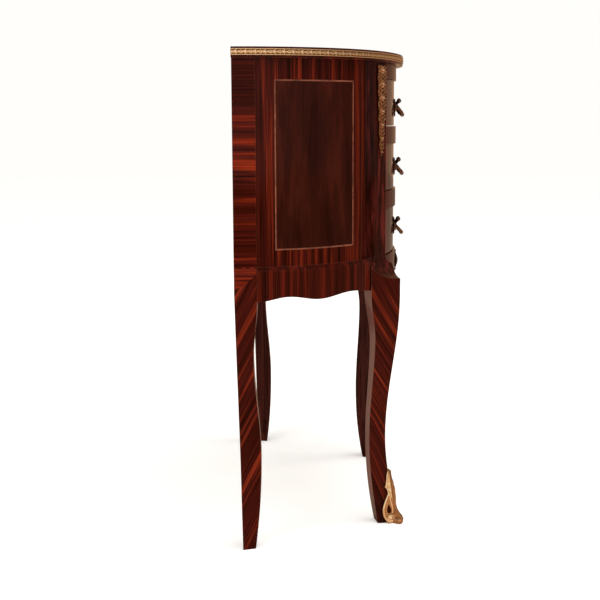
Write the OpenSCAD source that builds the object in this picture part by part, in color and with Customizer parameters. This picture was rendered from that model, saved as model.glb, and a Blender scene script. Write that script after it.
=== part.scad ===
// Demilune commode: a half-round case with three drawers, on four curved legs.
// The front faces -Y and the floor is z = 0. Left and right are the viewer's.
// Inside the modules the back of the case is y = 0, and seat() moves it to its place.

/* [Case] */
// Width over the rear stiles
case_w = 672; // [650:1:700]
// Depth from the back to the middle of the front
case_d = 278; // [274:1:290]
// Plan radius of the front
front_r = 441.125; // [420:0.125:470]
// Height of the lowest drawer opening above the floor
base_z = 458; // [445:1:480]
// Thickness of the side panels
panel_t = 16; // [14:1:20]
// Height of the side panels' foot above the lowest drawer opening
panel_rise = 3; // [2:0.5:6]
// Width of the square rear stiles
stile_w = 36; // [32:1:42]
// Thickness of the back panel
back_t = 6; // [4:0.5:8]
// Distance of the back panel's face inside the back
back_inset = 2; // [1:0.5:4]
// Lap of the back panel in the stiles
back_lap = 10; // [8:1:14]
// Thickness of the bottom board
bottom_t = 12; // [10:1:16]
// Thickness of the drawer cheeks
cheek_t = 12; // [10:1:16]
// Depth of the rear rails from front to back
rear_rail_t = 20; // [16:1:24]

/* [Top] */
// Thickness of the top board
top_t = 16.5; // [15:0.5:22]
// Overhang of the top past the case
top_overhang = 12.5; // [10:0.5:18]
// Height of the brass band round the top
band_h = 10.7; // [8:0.1:12]
// Thickness of the brass band
band_t = 1.2; // [1:0.1:2]
// Wood left bare above the brass band
band_drop = 2.3; // [1:0.1:3.5]
// Height of the bead along each edge of the band
band_bead = 1.6; // [1:0.1:2.5]

/* [Drawers] */
// Height of each drawer opening
opening_h = 80; // [70:1:95]
// Width of the drawer openings
opening_w = 320; // [300:1:330]
// Height of the rails between the drawers
rail_h = 30; // [24:1:36]
// Height of the rail over the upper drawer
top_rail_h = 25.5; // [22:0.5:34]
// Depth of the rails from front to back
rail_d = 40; // [32:1:50]
// Distance of the drawer fronts behind the rails
front_setback = 3.5; // [2:0.5:6]
// Gap round each drawer front
front_gap = 1.2; // [0.8:0.1:2]
// Thickness of the drawer fronts
front_t = 20; // [16:1:24]
// Thickness of the drawer sides and backs
drawer_side_t = 10; // [8:1:12]
// Thickness of the drawer bottoms
drawer_bottom_t = 5; // [4:0.5:7]
// Height of the drawer bottom above the foot of its sides
bottom_groove_z = 6; // [5.5:0.5:9]
// Depth of the grooves that hold the drawer bottom
groove_d = 3; // [2:0.5:5]
// Space between a drawer's back and the rear rail
drawer_back_gap = 6; // [4:1:12]
// Running gap under the drawer sides
run_gap = 0.4; // [0.3:0.1:0.8]
// Gap between a drawer side and its guide
guide_gap = 0.8; // [0.5:0.1:1.5]
// Gap between a drawer front and its stops
stop_gap = 0.3; // [0.2:0.1:0.8]

/* [Runners] */
// Width of the runners
runner_w = 18; // [15:1:22]
// Height of the runners
runner_h = 22; // [18:1:24]
// Height of the guide strip above a runner
guide_h = 10; // [6:1:14]
// Distance from the cheek to the drawer side
side_space = 10; // [8:0.5:12]
// Thickness of the dust boards
dust_t = 6; // [4:0.5:8]
// Height of the drawer stops
stop_h = 5; // [3:0.5:5.5]

/* [Front posts] */
// Distance from the drawer openings to the middle of the canted faces
post_side = 33.55; // [32:0.05:36]
// Turn of the canted face outwards, in degrees from the front
post_turn = 34; // [31:1:37]
// Width of the canted face
cant_w = 36; // [32:1:38]
// Distance of the canted face outside the case line
post_proud = 5; // [3:0.5:7]
// Width of the square post
post_w = 44; // [40:1:48]
// Depth of the groove between side panel and post
groove_in = 9; // [6:0.5:11]
// Distance along the side from the cant's middle to the panel's full thickness
panel_shoulder = 54.4; // [50:0.1:60]
// Length of the panel's tongue towards the post
panel_tongue = 41.2; // [36:0.1:44]

/* [Legs] */
// Height of the knees
knee_z = 402; // [380:1:410]
// Height of the necks on the inner faces
neck_z = 318; // [300:1:330]
// Height of the ankles
ankle_z = 150; // [130:1:180]
// Knee outside the front post's corner
knee_out = 15.3; // [12:0.1:18]
// Ankle inside the front post's corner
ankle_in = 3.7; // [2:0.1:8]
// Foot outside the front post's corner
foot_out = 8.5; // [5:0.5:12]
// Inner face of the front leg at its top
leg_top_in = 34; // [32:1:40]
// Inner face of the front leg at its neck
leg_neck_in = 26; // [25:1:31]
// Inner face of the front leg at its ankle
leg_ankle_in = 32; // [30:0.5:36]
// Inner face of the front leg at its foot
leg_foot_in = 19; // [16:1:24]
// Radius of the scoop over the front knees
scoop_r = 36; // [30:1:40]
// Height at which the knees leave the posts
scoop_z = 463; // [462:1:468]
// Turn of the rear legs' outer faces, in degrees
rear_turn = 18; // [12:1:20]
// Radius of the scoop over the rear knees
rear_scoop_r = 60; // [50:1:70]
// Distance that the rear legs' backs lean forward at the floor
rear_rake = 10; // [4:0.5:14]

/* [Aprons] */
// Thickness of the aprons behind the case line
apron_t = 18; // [14:1:20]
// Distance of the side aprons outside the case line
apron_proud = 5; // [3:0.5:7]
// Height of the sloping ledge over the side aprons
ledge_h = 6.5; // [4:0.5:9]
// Mean height of the aprons' shaped lower edge
apron_low = 409.3; // [404:0.1:416]
// Rise and fall of the shaped lower edge
apron_wave = 3.4; // [2:0.2:6]
// Length of one wave on the side aprons
side_wave_l = 101; // [90:1:115]
// Length of one wave on the front apron
front_wave_l = 150; // [130:1:170]

/* [Inlay] */
// Width of the string line let into each side
string_w = 2; // [1.5:0.1:3]
// Depth of the string line
string_d = 1; // [0.6:0.1:1.6]
// Lower edge of the string line's frame above the side panel's foot
string_foot = 26; // [20:1:40]
// Distance of the string line's upper edge below the top board
string_head = 32.4; // [24:0.2:45]
// Rear edge of the string line's frame, from the back
string_rear = 65.5; // [55:0.5:75]
// Front edge of the string line's frame, along the side from the cant's middle
string_front = 75.9; // [70:0.1:100]

/* [Mounts and pulls] */
// Width of each drawer pull
pull_w = 90; // [80:1:100]
// Height of each drawer pull
pull_h = 32; // [28:1:38]
// Thickness of the pulls' plates
pull_plate_t = 2; // [1.6:0.2:3]
// Radius of the pulls' grips
grip_r = 4; // [2.8:0.1:4.5]
// Reach of each pull in front of its drawer
pull_reach = 20.5; // [18:0.5:24]
// Distance of each pull below the middle of its drawer, lower one first
pull_drop = [1, 2.5, 7];
// Radius of the pulls' bolts
bolt_r = 2; // [1.5:0.1:2.5]
// Radial room round bolts and screws
bolt_room = 0.05; // [0.02:0.01:0.1]
// Length of the chutes on the front posts
chute_l = 156; // [140:1:165]
// Half width of the chutes at their widest
chute_half_w = 14.5; // [12:0.5:16]
// Thickness of the chutes' ground
chute_t = 2.5; // [2:0.5:4]
// Height of the sabots on the front feet
sabot_h = 94; // [80:1:105]
// Thickness of the sabots
sabot_t = 4; // [3:0.5:5]
// Reach of the sabots' toes beyond the feet
toe_out = 18.6; // [12:0.1:20]
// Height of the mount on the front apron
apron_mount_h = 42; // [38:1:48]
// Thickness of the mount on the front apron
apron_mount_t = 5; // [4:0.5:7]

/* [Hidden] */

$fn = 96;
plan_fn = 360;
eps = 1;
far = 1000;

VENEER = [0.26, 0.07, 0.05];
BORDER = [0.34, 0.09, 0.05];
CARCASS = [0.62, 0.46, 0.31];
DRAWER_WOOD = [0.70, 0.55, 0.38];
STRING = [0.72, 0.45, 0.32];
GILT = [0.80, 0.60, 0.28];
BRONZE = [0.33, 0.27, 0.19];
STEEL = [0.55, 0.54, 0.52];

// Plan of the case: one front arc, and two side arcs with their centres on the back,
// whose radius makes them run into the front without a corner.
side_r = (2 * front_r * case_d - case_d * case_d - case_w * case_w / 4) / (2 * front_r - case_w);
side_cx = case_w / 2 - side_r;
front_cy = front_r - case_d;
join_angle = atan2(side_cx, front_cy);

// Heights
panel_z = base_z + panel_rise;
rail_pitch = opening_h + rail_h;
under_top = base_z + 3 * opening_h + 2 * rail_h + top_rail_h;
total_h = under_top + top_t;
function opening_z(i) = base_z + i * rail_pitch;

// Overall depth, from the back to the drawer pulls
overall_d = case_d - front_setback + pull_reach;

// Front posts: the middle of the canted face, and the corner that the cant cuts off
leg_turn = 45 - post_turn;
cant_cut = cant_w / sqrt(2);
post_reach = side_r + post_proud;
cant_x = -opening_w / 2 - post_side;
post_angle = asin((-cant_x - side_cx) / post_reach);
cant_y = -post_reach * cos(post_angle);
post_x = cant_x - cant_w / 2 * sin(post_turn);
post_y = cant_y - cant_w / 2 * cos(post_turn);

// Drawer boxes
front_out_r = front_r - front_setback;
front_in_r = front_out_r - front_t;
drawer_half_w = opening_w / 2 - side_space;
rear_rail_y = back_inset + back_t + rear_rail_t;
drawer_back_y = rear_rail_y + drawer_back_gap;

LEG_STEPS = 60;
EDGE_STEPS = 48;
PLAN_STEPS = 60;

module seat() {
    translate([0, overall_d / 2, 0]) children();
}

// Smooth step from a to b as t goes from 0 to 1
function ease(a, b, t) = a + (b - a) * (1 - cos(180 * t)) / 2;

// Outer and inner face of a leg at height z, as distances from its reference corner
function outer_face(z, knee, ankle, foot) =
    z >= knee_z ? knee
    : z >= ankle_z ? ease(knee, ankle, (knee_z - z) / (knee_z - ankle_z))
    : ease(ankle, foot, (ankle_z - z) / ankle_z);
function inner_face(z, top, neck, ankle, foot) =
    z >= knee_z ? top
    : z >= neck_z ? ease(top, neck, (knee_z - z) / (knee_z - neck_z))
    : z >= ankle_z ? ease(neck, ankle, (neck_z - z) / (neck_z - ankle_z))
    : ankle - (ankle - foot) * pow((ankle_z - z) / ankle_z, 2.1);

function front_outer(z) = -outer_face(z, knee_out, -ankle_in, foot_out);
function front_inner(z) = inner_face(z, leg_top_in, leg_neck_in, leg_ankle_in, leg_foot_in);

// Pie slice with its point at the origin, from angle a to angle b, counted from the front
// towards the left
module slice_2d(r, a, b) {
    n = 8;
    polygon(concat(
        [[0, 0]],
        [for (i = [0:n]) let (t = a + (b - a) * i / n) [-1.3 * r * sin(t), -1.3 * r * cos(t)]]
    ));
}

// Points on an arc from angle a to angle b, counted from the front towards the left
function arc_points(x, y, r, a, b) =
    [for (i = [0:PLAN_STEPS]) let (t = a + (b - a) * i / PLAN_STEPS) [x - r * sin(t), y - r * cos(t)]];

// Half-round plan, grown by off
module plan_2d(off) {
    front = arc_points(0, front_cy, front_r + off, -join_angle, join_angle);
    polygon(concat(
        arc_points(side_cx, 0, side_r + off, -90, -join_angle),
        [for (i = [1:PLAN_STEPS - 1]) front[i]],
        arc_points(-side_cx, 0, side_r + off, join_angle, 90)
    ));
}

// Angle that a length takes along the side
function side_angle(length) = length / side_r * 180 / PI;

// Curved strip of the left side between two radii, from angle a to angle b
module side_strip_2d(r_in, r_out, a, b) {
    translate([-side_cx, 0]) intersection() {
        difference() {
            circle(r_out, $fn = plan_fn);
            circle(r_in, $fn = plan_fn);
        }
        slice_2d(r_out, a, b);
    }
}

// Curved strip of the front between two radii, half_w to either side of the middle
module front_strip_2d(r_in, r_out, half_w) {
    intersection() {
        translate([0, front_cy]) difference() {
            circle(r_out, $fn = plan_fn);
            circle(r_in, $fn = plan_fn);
        }
        translate([-half_w, -far]) square([2 * half_w, far]);
    }
}

// Frame of the left front post: x runs inwards and y backwards from the post's corner
module at_post() {
    translate([post_x, post_y, 0]) rotate([0, 0, leg_turn]) children();
}

// Frame of the canted face: x runs along the face, and -y out of it
module at_cant() {
    translate([cant_x, cant_y, 0]) rotate([0, 0, -post_turn]) children();
}

// Section of the left front post, canted at its corner and square to the drawers
module post_2d() {
    difference() {
        at_post() polygon([
            [cant_cut, 0], [2 * post_w, 0], [2 * post_w, post_w], [0, post_w], [0, cant_cut]
        ]);
        translate([-opening_w / 2, -far]) square([far, far]);
    }
}

// Space that the top of the left front leg takes in the aprons
module leg_block_2d() {
    at_post() translate([-2 * post_w, -2 * post_w]) square(2 * post_w + leg_top_in);
}

// Outline of a leg, sawn from a square blank: outer and inner are lists over the height
module leg_outline_2d(outer, inner, height) {
    n = len(outer) - 1;
    polygon(concat(
        [for (i = [0:n]) [outer[i], height * i / n]],
        [for (i = [n:-1:0]) [inner[i], height * i / n]]
    ));
}

// Front leg blank with both outer faces moved out by grow
module front_leg_blank(grow, height) {
    outer = [for (i = [0:LEG_STEPS]) front_outer(height * i / LEG_STEPS) - grow];
    inner = [for (i = [0:LEG_STEPS]) front_inner(height * i / LEG_STEPS)];
    intersection() {
        rotate([90, 0, 0]) linear_extrude(4 * post_w, center = true)
            leg_outline_2d(outer, inner, height);
        rotate([90, 0, 90]) linear_extrude(4 * post_w, center = true)
            leg_outline_2d(outer, inner, height);
    }
}

// Left front post and leg in one piece, scooped over the knee
scoop_at = (cant_w / 2 - scoop_r) / sqrt(2);
module front_leg() {
    color(VENEER) union() {
        translate([0, 0, panel_z]) linear_extrude(under_top - panel_z) post_2d();
        at_post() difference() {
            front_leg_blank(0, scoop_z);
            translate([scoop_at, scoop_at, scoop_z]) rotate([0, 0, -45]) rotate([0, 90, 0])
                cylinder(r = scoop_r, h = 6 * post_w, center = true);
            translate([-knee_out, 0, scoop_z]) rotate([90, 0, 0])
                cylinder(r = knee_out, h = 6 * post_w, center = true);
            translate([0, -knee_out, scoop_z]) rotate([0, 90, 0])
                cylinder(r = knee_out, h = 6 * post_w, center = true);
        }
    }
}

// Left rear stile and leg in one piece. The leg's outer face turns out towards the back,
// and its back turns a little the other way.
REAR_OUTER = [0.8, -11, -3];
REAR_INNER = [46, 38, 41, 25];
REAR_FRONT = [29.5, 40, 30.5];
rear_back_turn = 4;
module rear_leg() {
    outer = [for (i = [0:LEG_STEPS]) let (z = scoop_z * i / LEG_STEPS)
        -outer_face(z, REAR_OUTER[0], REAR_OUTER[1], REAR_OUTER[2])];
    inner = [for (i = [0:LEG_STEPS]) let (z = scoop_z * i / LEG_STEPS)
        inner_face(z, REAR_INNER[0], REAR_INNER[1], REAR_INNER[2], REAR_INNER[3])];
    fore = [for (i = [0:LEG_STEPS]) let (z = scoop_z * i / LEG_STEPS)
        -inner_face(z, stile_w, REAR_FRONT[0], REAR_FRONT[1], REAR_FRONT[2])];
    aft = [for (i = [0:LEG_STEPS]) let (z = scoop_z * i / LEG_STEPS)
        -rear_rake * max(0, base_z - z) / base_z];
    lap_z = knee_z + eps;
    color(VENEER) difference() {
        union() {
            translate([-case_w / 2, -stile_w, scoop_z])
                cube([stile_w, stile_w, under_top - scoop_z]);
            intersection() {
                translate([-case_w / 2, -stile_w, 0]) rotate([0, 0, rear_turn])
                    rotate([90, 0, 0]) linear_extrude(6 * stile_w, center = true)
                    leg_outline_2d(outer, inner, scoop_z);
                translate([-case_w / 2 - 2 * stile_w, 0, 0])
                    rotate([90, 0, 90]) linear_extrude(3 * stile_w)
                    leg_outline_2d(fore, aft, scoop_z);
                union() {
                    translate([-case_w / 2, 0, 0]) rotate([0, 0, -rear_back_turn])
                        rotate([90, 0, 90]) linear_extrude(6 * stile_w, center = true)
                        polygon([
                            [-4 * stile_w, 0], [-rear_rake, 0],
                            [rear_rake * (lap_z / base_z - 1), lap_z], [-4 * stile_w, lap_z]
                        ]);
                    translate([-case_w, -case_d, knee_z]) cube([case_w, 2 * case_d, far]);
                }
            }
        }
        translate([-case_w / 2 - rear_scoop_r, 0, scoop_z]) rotate([90, 0, 0])
            cylinder(r = rear_scoop_r, h = 6 * stile_w, center = true);
        back_rebate();
        back_screw_shapes(bolt_room);
    }
}

// Rebate in the rear stiles for the back panel
module back_rebate() {
    translate([-case_w / 2 + stile_w - back_lap, -back_inset - back_t, rear_rail_z])
        cube([case_w - 2 * stile_w + 2 * back_lap, back_inset + back_t + eps, far]);
}

// Side panel: a full-thickness curved board with a tongue that closes the groove
module side_panel() {
    shoulder = post_angle + side_angle(panel_shoulder);
    tip = shoulder - side_angle(panel_tongue);
    color(BORDER) difference() {
        translate([0, 0, panel_z]) linear_extrude(under_top - panel_z) difference() {
            union() {
                side_strip_2d(side_r - panel_t, side_r, shoulder, 90);
                side_strip_2d(side_r - panel_t, side_r - groove_in, tip, shoulder + 1);
            }
            translate([-far, -stile_w]) square([2 * far, far]);
            post_2d();
        }
        side_string();
    }
}

// String line let flush into the side panel
string_rear_angle = acos(string_rear / side_r);
module side_string() {
    edge = side_angle(string_w);
    fore = post_angle + side_angle(string_front);
    lo = panel_z + string_foot;
    hi = under_top - string_head;
    color(STRING) difference() {
        translate([0, 0, lo]) linear_extrude(hi - lo)
            side_strip_2d(side_r - string_d, side_r, fore, string_rear_angle);
        translate([0, 0, lo + string_w]) linear_extrude(hi - lo - 2 * string_w)
            side_strip_2d(side_r - 2 * string_d, side_r + eps, fore + edge, string_rear_angle - edge);
    }
}

// Height of an apron's lower edge at distance s from the middle of a wave
function edge_z(s, wave_l) = apron_low - apron_wave * cos(360 * s / wave_l);

// Upright curtain above the shaped lower edge, from s = a to s = b, to be extruded
module edge_curtain_2d(a, b, wave_l) {
    polygon(concat(
        [for (i = [0:EDGE_STEPS]) let (s = a + (b - a) * i / EDGE_STEPS) [s, edge_z(s, wave_l)]],
        [[b, far], [a, far]]
    ));
}

// Side apron between the rear leg and the front leg, with a sloping ledge under the panel
side_wave_mid = stile_w + side_wave_l;
module side_apron() {
    r = side_r + apron_proud;
    color(BORDER) difference() {
        intersection() {
            translate([-side_cx, 0, 0]) rotate_extrude($fn = plan_fn) polygon([
                [side_r - apron_t, apron_low - 3 * apron_wave], [r, apron_low - 3 * apron_wave],
                [r, panel_z - ledge_h], [side_r, panel_z], [side_r - apron_t, panel_z]
            ]);
            translate([-case_w, -side_wave_mid, 0]) rotate([90, 0, 90]) linear_extrude(case_w + cant_x)
                edge_curtain_2d(-side_wave_l * 1.1, side_wave_mid - stile_w, side_wave_l);
        }
        linear_extrude(far) leg_block_2d();
    }
}

// Front apron between the knees
module front_apron() {
    color(BORDER) difference() {
        intersection() {
            linear_extrude(base_z) front_strip_2d(front_r - apron_t, front_r, opening_w / 2 + post_w / 2);
            translate([0, 0, 0]) rotate([90, 0, 0]) linear_extrude(2 * case_d)
                edge_curtain_2d(-opening_w, opening_w, front_wave_l);
        }
        linear_extrude(far) leg_block_2d();
        linear_extrude(far) mirror([1, 0]) leg_block_2d();
    }
}

module top_board() {
    color(VENEER) difference() {
        translate([0, 0, under_top]) linear_extrude(top_t) plan_2d(top_overhang - band_t);
        top_screw_holes();
    }
}

// Brass band round the edge of the top, with a bead along both edges
module top_band() {
    z0 = total_h - band_drop - band_h;
    color(GILT) difference() {
        union() {
            translate([0, 0, z0]) linear_extrude(band_h) plan_2d(top_overhang - band_t / 3);
            for (z = [z0, z0 + band_h - band_bead])
                translate([0, 0, z]) linear_extrude(band_bead) plan_2d(top_overhang);
        }
        translate([0, 0, z0 - eps]) linear_extrude(band_h + 2 * eps) plan_2d(top_overhang - band_t);
    }
}

rear_rail_z = apron_low - apron_wave;
module back_panel() {
    w = case_w - 2 * stile_w + 2 * back_lap;
    color(CARCASS) difference() {
        translate([-w / 2, -back_inset - back_t, rear_rail_z]) cube([w, back_t, under_top - rear_rail_z]);
        back_screw_shapes(bolt_room);
    }
}

module rear_rail_bar(z, h) {
    w = case_w - 2 * stile_w;
    color(CARCASS) translate([-w / 2, -rear_rail_y, z]) cube([w, rear_rail_t, h]);
}

module bottom_board() {
    color(CARCASS) translate([0, 0, base_z - bottom_t]) linear_extrude(bottom_t) difference() {
        plan_2d(-apron_t);
        translate([-far, -back_inset - back_t]) square([2 * far, far]);
        for (m = [0, 1]) mirror([m, 0]) {
            leg_block_2d();
            translate([-case_w / 2 - eps, -stile_w]) square([stile_w + eps, far]);
        }
    }
}

// Rail of one height from post to post
module front_rail(z, h) {
    color(VENEER) translate([0, 0, z]) linear_extrude(h)
        front_strip_2d(front_r - rail_d, front_r, opening_w / 2);
}

module cheek() {
    color(CARCASS) translate([0, 0, base_z]) linear_extrude(under_top - base_z) difference() {
        translate([-opening_w / 2 - cheek_t, cant_y]) square([cheek_t, -cant_y - rear_rail_y]);
        post_2d();
    }
}

// Strip along both cheeks, from the rear rail to the front rail, with its top at z
module cheek_strips(z, h, w, front_cut_r) {
    for (m = [0, 1]) mirror([m, 0, 0]) translate([0, 0, z - h]) linear_extrude(h) intersection() {
        translate([-opening_w / 2, -case_d]) square([w, case_d - rear_rail_y]);
        translate([0, front_cy]) circle(front_cut_r, $fn = plan_fn);
    }
}

// Runners with a guide strip beside the drawer
module runners(i) {
    z = opening_z(i);
    color(CARCASS) difference() {
        union() {
            cheek_strips(z, runner_h, runner_w, front_r - rail_d);
            guides(i);
        }
        dust_board_shape(i);
    }
}

module guides(i) {
    color(CARCASS) cheek_strips(opening_z(i) + guide_h, guide_h, side_space - guide_gap, front_r - rail_d);
}

// Thin board between two drawers, held in the grooves of its runners
module dust_board_shape(i) {
    w = opening_w - 2 * runner_w + 2 * groove_d;
    translate([0, 0, opening_z(i) - runner_h / 2 - dust_t / 2]) linear_extrude(dust_t) intersection() {
        translate([-w / 2, -case_d]) square([w, case_d - rear_rail_y]);
        translate([0, front_cy]) circle(front_r - rail_d, $fn = plan_fn);
    }
}

module dust_board(i) {
    color(CARCASS) dust_board_shape(i);
}

module top_kickers() {
    color(CARCASS) difference() {
        cheek_strips(under_top, top_rail_h, runner_w, front_r - rail_d);
        top_screw_holes();
    }
}

// Small blocks on each level that the drawer fronts close against
STOP = [24, 16];
stop_side = 90;
module drawer_stops() {
    x = opening_w / 2 - stop_side;
    color(CARCASS) for (i = [0:2]) translate([0, 0, opening_z(i)]) linear_extrude(stop_h) intersection() {
        front_strip_2d(front_in_r - STOP[1], front_in_r - stop_gap, opening_w / 2);
        for (m = [-1, 1]) translate([m * x - STOP[0] / 2, -far]) square([STOP[0], far]);
    }
}

// Blocks glued in the corner under the bottom board, behind the aprons
BLOCK = [44, 16, 26];
module glue_blocks() {
    color(CARCASS) {
        for (x = [-1, 1] * opening_w / 4) intersection() {
            translate([x - BLOCK[0] / 2, -case_d, base_z - bottom_t - BLOCK[2]]) cube([BLOCK[0], case_d, BLOCK[2]]);
            linear_extrude(far) front_strip_2d(front_r - apron_t - BLOCK[1], front_r - apron_t, opening_w / 2);
        }
        for (m = [0, 1]) mirror([m, 0, 0])
            translate([0, 0, base_z - bottom_t - BLOCK[2]]) linear_extrude(BLOCK[2])
            side_strip_2d(side_r - apron_t - BLOCK[1], side_r - apron_t, 55, 65);
    }
}

// Four screws up through the kickers into the top
SCREW_R = 2;
SCREW_HEAD_R = 4;
SCREW_HEAD_H = 3;
top_screw_bite = 10;
module top_screw_shapes(room) {
    for (x = [-1, 1]) for (y = [0.3, 0.65])
        translate([x * (opening_w / 2 - runner_w / 2), -case_d * y, under_top - top_rail_h]) {
            cylinder(r = SCREW_R + room, h = top_rail_h + top_screw_bite);
            cylinder(r = SCREW_HEAD_R + room, h = SCREW_HEAD_H);
        }
}
module top_screw_holes() {
    top_screw_shapes(bolt_room);
}

// Six screws through the back panel into the stiles
module back_screw_shapes(room) {
    for (x = [-1, 1]) for (z = [0.12, 0.5, 0.88])
        translate([x * (case_w / 2 - stile_w + back_lap / 2), -back_inset, rear_rail_z + z * (under_top - rear_rail_z)])
            rotate([90, 0, 0]) {
                cylinder(r = SCREW_R - 0.5 + room, h = back_t + 12);
                cylinder(r = SCREW_HEAD_R - 0.5 + room, h = SCREW_HEAD_H - 1);
            }
}

// Chute on the canted face: a pointed ground with a garland of domed husks
CHUTE_TIERS = 7;
chute_top = under_top - 3;
function chute_half(t) = chute_half_w * (1 - 0.72 * pow(t, 1.7)) + 1.2 * cos(360 * CHUTE_TIERS * t);
module chute() {
    n = 84;
    color(GILT) at_cant() {
        rotate([90, 0, 0]) linear_extrude(chute_t) polygon(concat(
            [for (i = [0:n]) let (t = i / n) [-chute_half(t), chute_top - 0.94 * chute_l * t]],
            [[0, chute_top - chute_l]],
            [for (i = [n:-1:0]) let (t = i / n) [chute_half(t), chute_top - 0.94 * chute_l * t]]
        ));
        for (k = [0:CHUTE_TIERS - 1]) {
            t = (k + 0.5) / CHUTE_TIERS;
            w = chute_half(t);
            z = chute_top - 0.94 * chute_l * t;
            chute_dome(0, z, 0.62 * w, 4);
            for (s = [-1, 1]) chute_dome(s * 0.62 * w, z + 0.4 * w, 0.3 * w, 2.4);
        }
    }
}

// Dome of radius r that stands h out of the chute's ground
module chute_dome(x, z, r, h) {
    ball = (r * r + h * h) / (2 * h);
    intersection() {
        translate([x, -chute_t + ball - h, z]) sphere(r = ball, $fn = 32);
        translate([x - r, -chute_t - h, z - r]) cube([2 * r, h + chute_t / 2, 2 * r]);
    }
}

// Pierced sabot round the front foot: a shell over both outer faces with a raised rim.
// SABOT_EDGE holds its reach back from the arris, as reach and height, and SABOT_KEEL its
// reach beyond the leg's arris along the diagonal, where it ends in a scrolled toe.
SABOT_EDGE = [
    [11, 0], [13, 4], [16, 8], [17.6, 12], [18.5, 16], [19.1, 20], [19.1, 24], [18.3, 28],
    [17, 32], [15, 36], [12.8, 40], [11, 44], [9.2, 48], [7, 52], [6.4, 55.5], [8, 59],
    [9.4, 64], [9, 68], [7.4, 72.5], [6, 78], [4.6, 85], [2.6, 90], [0.4, 94]
];
SABOT_KEEL = [
    [13, 0], [16.8, 3], [18.6, 7], [18.4, 11], [16.4, 15], [12, 19], [8.4, 24], [6.6, 30],
    [6, 35], [6.6, 40], [7.4, 46], [7.3, 54], [7.6, 62], [6.4, 67], [6.6, 72], [5, 77],
    [4.4, 82], [3, 87.5], [0.2, 94]
];
sabot_rim = 1.3;
sabot_rim_w = 2.6;
sabot_eye_z = 12.5;
sabot_eye_r = 5.6;
toe_r = 6.4;
toe_z = 5.4;
module sabot_prisms(inset) {
    points = concat(
        [[-4 * post_w, 0]],
        [for (p = SABOT_EDGE) let (z = sabot_h * p[1] / 94) [front_outer(z) + p[0] - inset, z]],
        [[-4 * post_w, sabot_h]]
    );
    intersection() {
        rotate([90, 0, 90]) linear_extrude(8 * post_w, center = true) polygon(points);
        rotate([90, 0, 0]) linear_extrude(8 * post_w, center = true) polygon(points);
    }
}

// Drop-shaped openings on both faces, between the rim and the keel
module sabot_openings() {
    points = [for (t = [0:15:345]) let (up = (1 - cos(t)) / 2, z = 17.5 + 15.5 * up)
        [front_outer(z) + 7.6 + 4.9 * sin(t) * (1 - 0.6 * up), z]];
    rotate([90, 0, 90]) linear_extrude(8 * post_w, center = true) polygon(points);
    rotate([90, 0, 0]) linear_extrude(8 * post_w, center = true) polygon(points);
}

// Slice of the sabot's outline along the leg's diagonal, half_w thick to each side
module sabot_slice(half_w) {
    rotate([0, 0, 45]) rotate([90, 0, 0]) linear_extrude(2 * half_w, center = true) polygon(concat(
        [[0, 0]],
        [for (p = SABOT_KEEL) let (z = sabot_h * p[1] / 94) [front_outer(z) * sqrt(2) - p[0], z]],
        [[0, sabot_h]]
    ));
}

module sabot() {
    reach = foot_out * sqrt(2) + toe_out;
    color(GILT) at_post() difference() {
        union() {
            difference() {
                intersection() {
                    front_leg_blank(sabot_t + sabot_rim, scoop_z);
                    sabot_prisms(0);
                    sabot_slice(3 * post_w);
                }
                difference() {
                    sabot_prisms(sabot_rim_w);
                    front_leg_blank(sabot_t, scoop_z);
                }
                sabot_openings();
            }
            sabot_slice(2.4);
            intersection() {
                translate([-far / 2, -far / 2, 0]) cube(far);
                rotate([0, 0, 45]) union() {
                    translate([-reach + toe_r, 0, toe_z]) rotate([0, 88, 0])
                        cylinder(r1 = toe_r - 0.3, r2 = toe_r + 2, h = reach);
                    translate([-reach + toe_r, 0, toe_z + 0.3]) sphere(r = toe_r, $fn = 48);
                }
            }
            for (m = [[0, 0, 0], [1, -1, 0]]) mirror(m)
                translate([0, front_outer(sabot_eye_z) - 0.5, sabot_eye_z]) rotate([0, 90, 0])
                translate([0, 0, front_outer(sabot_eye_z) - sabot_t - 3])
                    cylinder(r1 = sabot_eye_r - 1, r2 = sabot_eye_r + 0.6, h = sabot_t + 8);
        }
        front_leg_blank(0, scoop_z);
    }
}

// Cast mount on the middle of the front apron: a boss between leaves, with a spike up and down
apron_mount_z = base_z - 24.7;
apron_mount_w = 60;
module apron_mount() {
    r = apron_mount_h / 2;
    w = apron_mount_w / 2;
    color(BRONZE) translate([0, 0, apron_mount_z]) union() {
        intersection() {
            rotate([90, 0, 0]) linear_extrude(2 * case_d)
                polygon([[-0.5 * r, 0], [0, r], [0.5 * r, 0], [0, -r]]);
            translate([0, 0, -r]) linear_extrude(2 * r)
                front_strip_2d(front_r, front_r + apron_mount_t - 2, opening_w / 2);
        }
        intersection() {
            rotate([90, 0, 0]) linear_extrude(2 * case_d) union() {
                circle(0.6 * r, $fn = 48);
                for (s = [-1, 1]) {
                    translate([s * 0.5 * w, 0.12 * r]) circle(0.4 * r, $fn = 32);
                    translate([s * 0.74 * w, -0.1 * r]) circle(0.26 * w, $fn = 32);
                    translate([s * 0.32 * w, -0.42 * r]) circle(0.26 * r, $fn = 32);
                }
            }
            translate([0, 0, -r]) union() {
                linear_extrude(2 * r) front_strip_2d(front_r, front_r + apron_mount_t - 1.5, opening_w / 2);
                intersection() {
                    linear_extrude(2 * r) front_strip_2d(front_r, front_r + apron_mount_t + 2, opening_w / 2);
                    union() {
                        translate([0, -case_d + 5, r]) sphere(r = 14, $fn = 64);
                        for (s = [-1, 1])
                            translate([s * 0.72 * w, -case_d + 1, 0.95 * r]) sphere(r = 9, $fn = 48);
                    }
                }
            }
        }
    }
}

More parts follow.
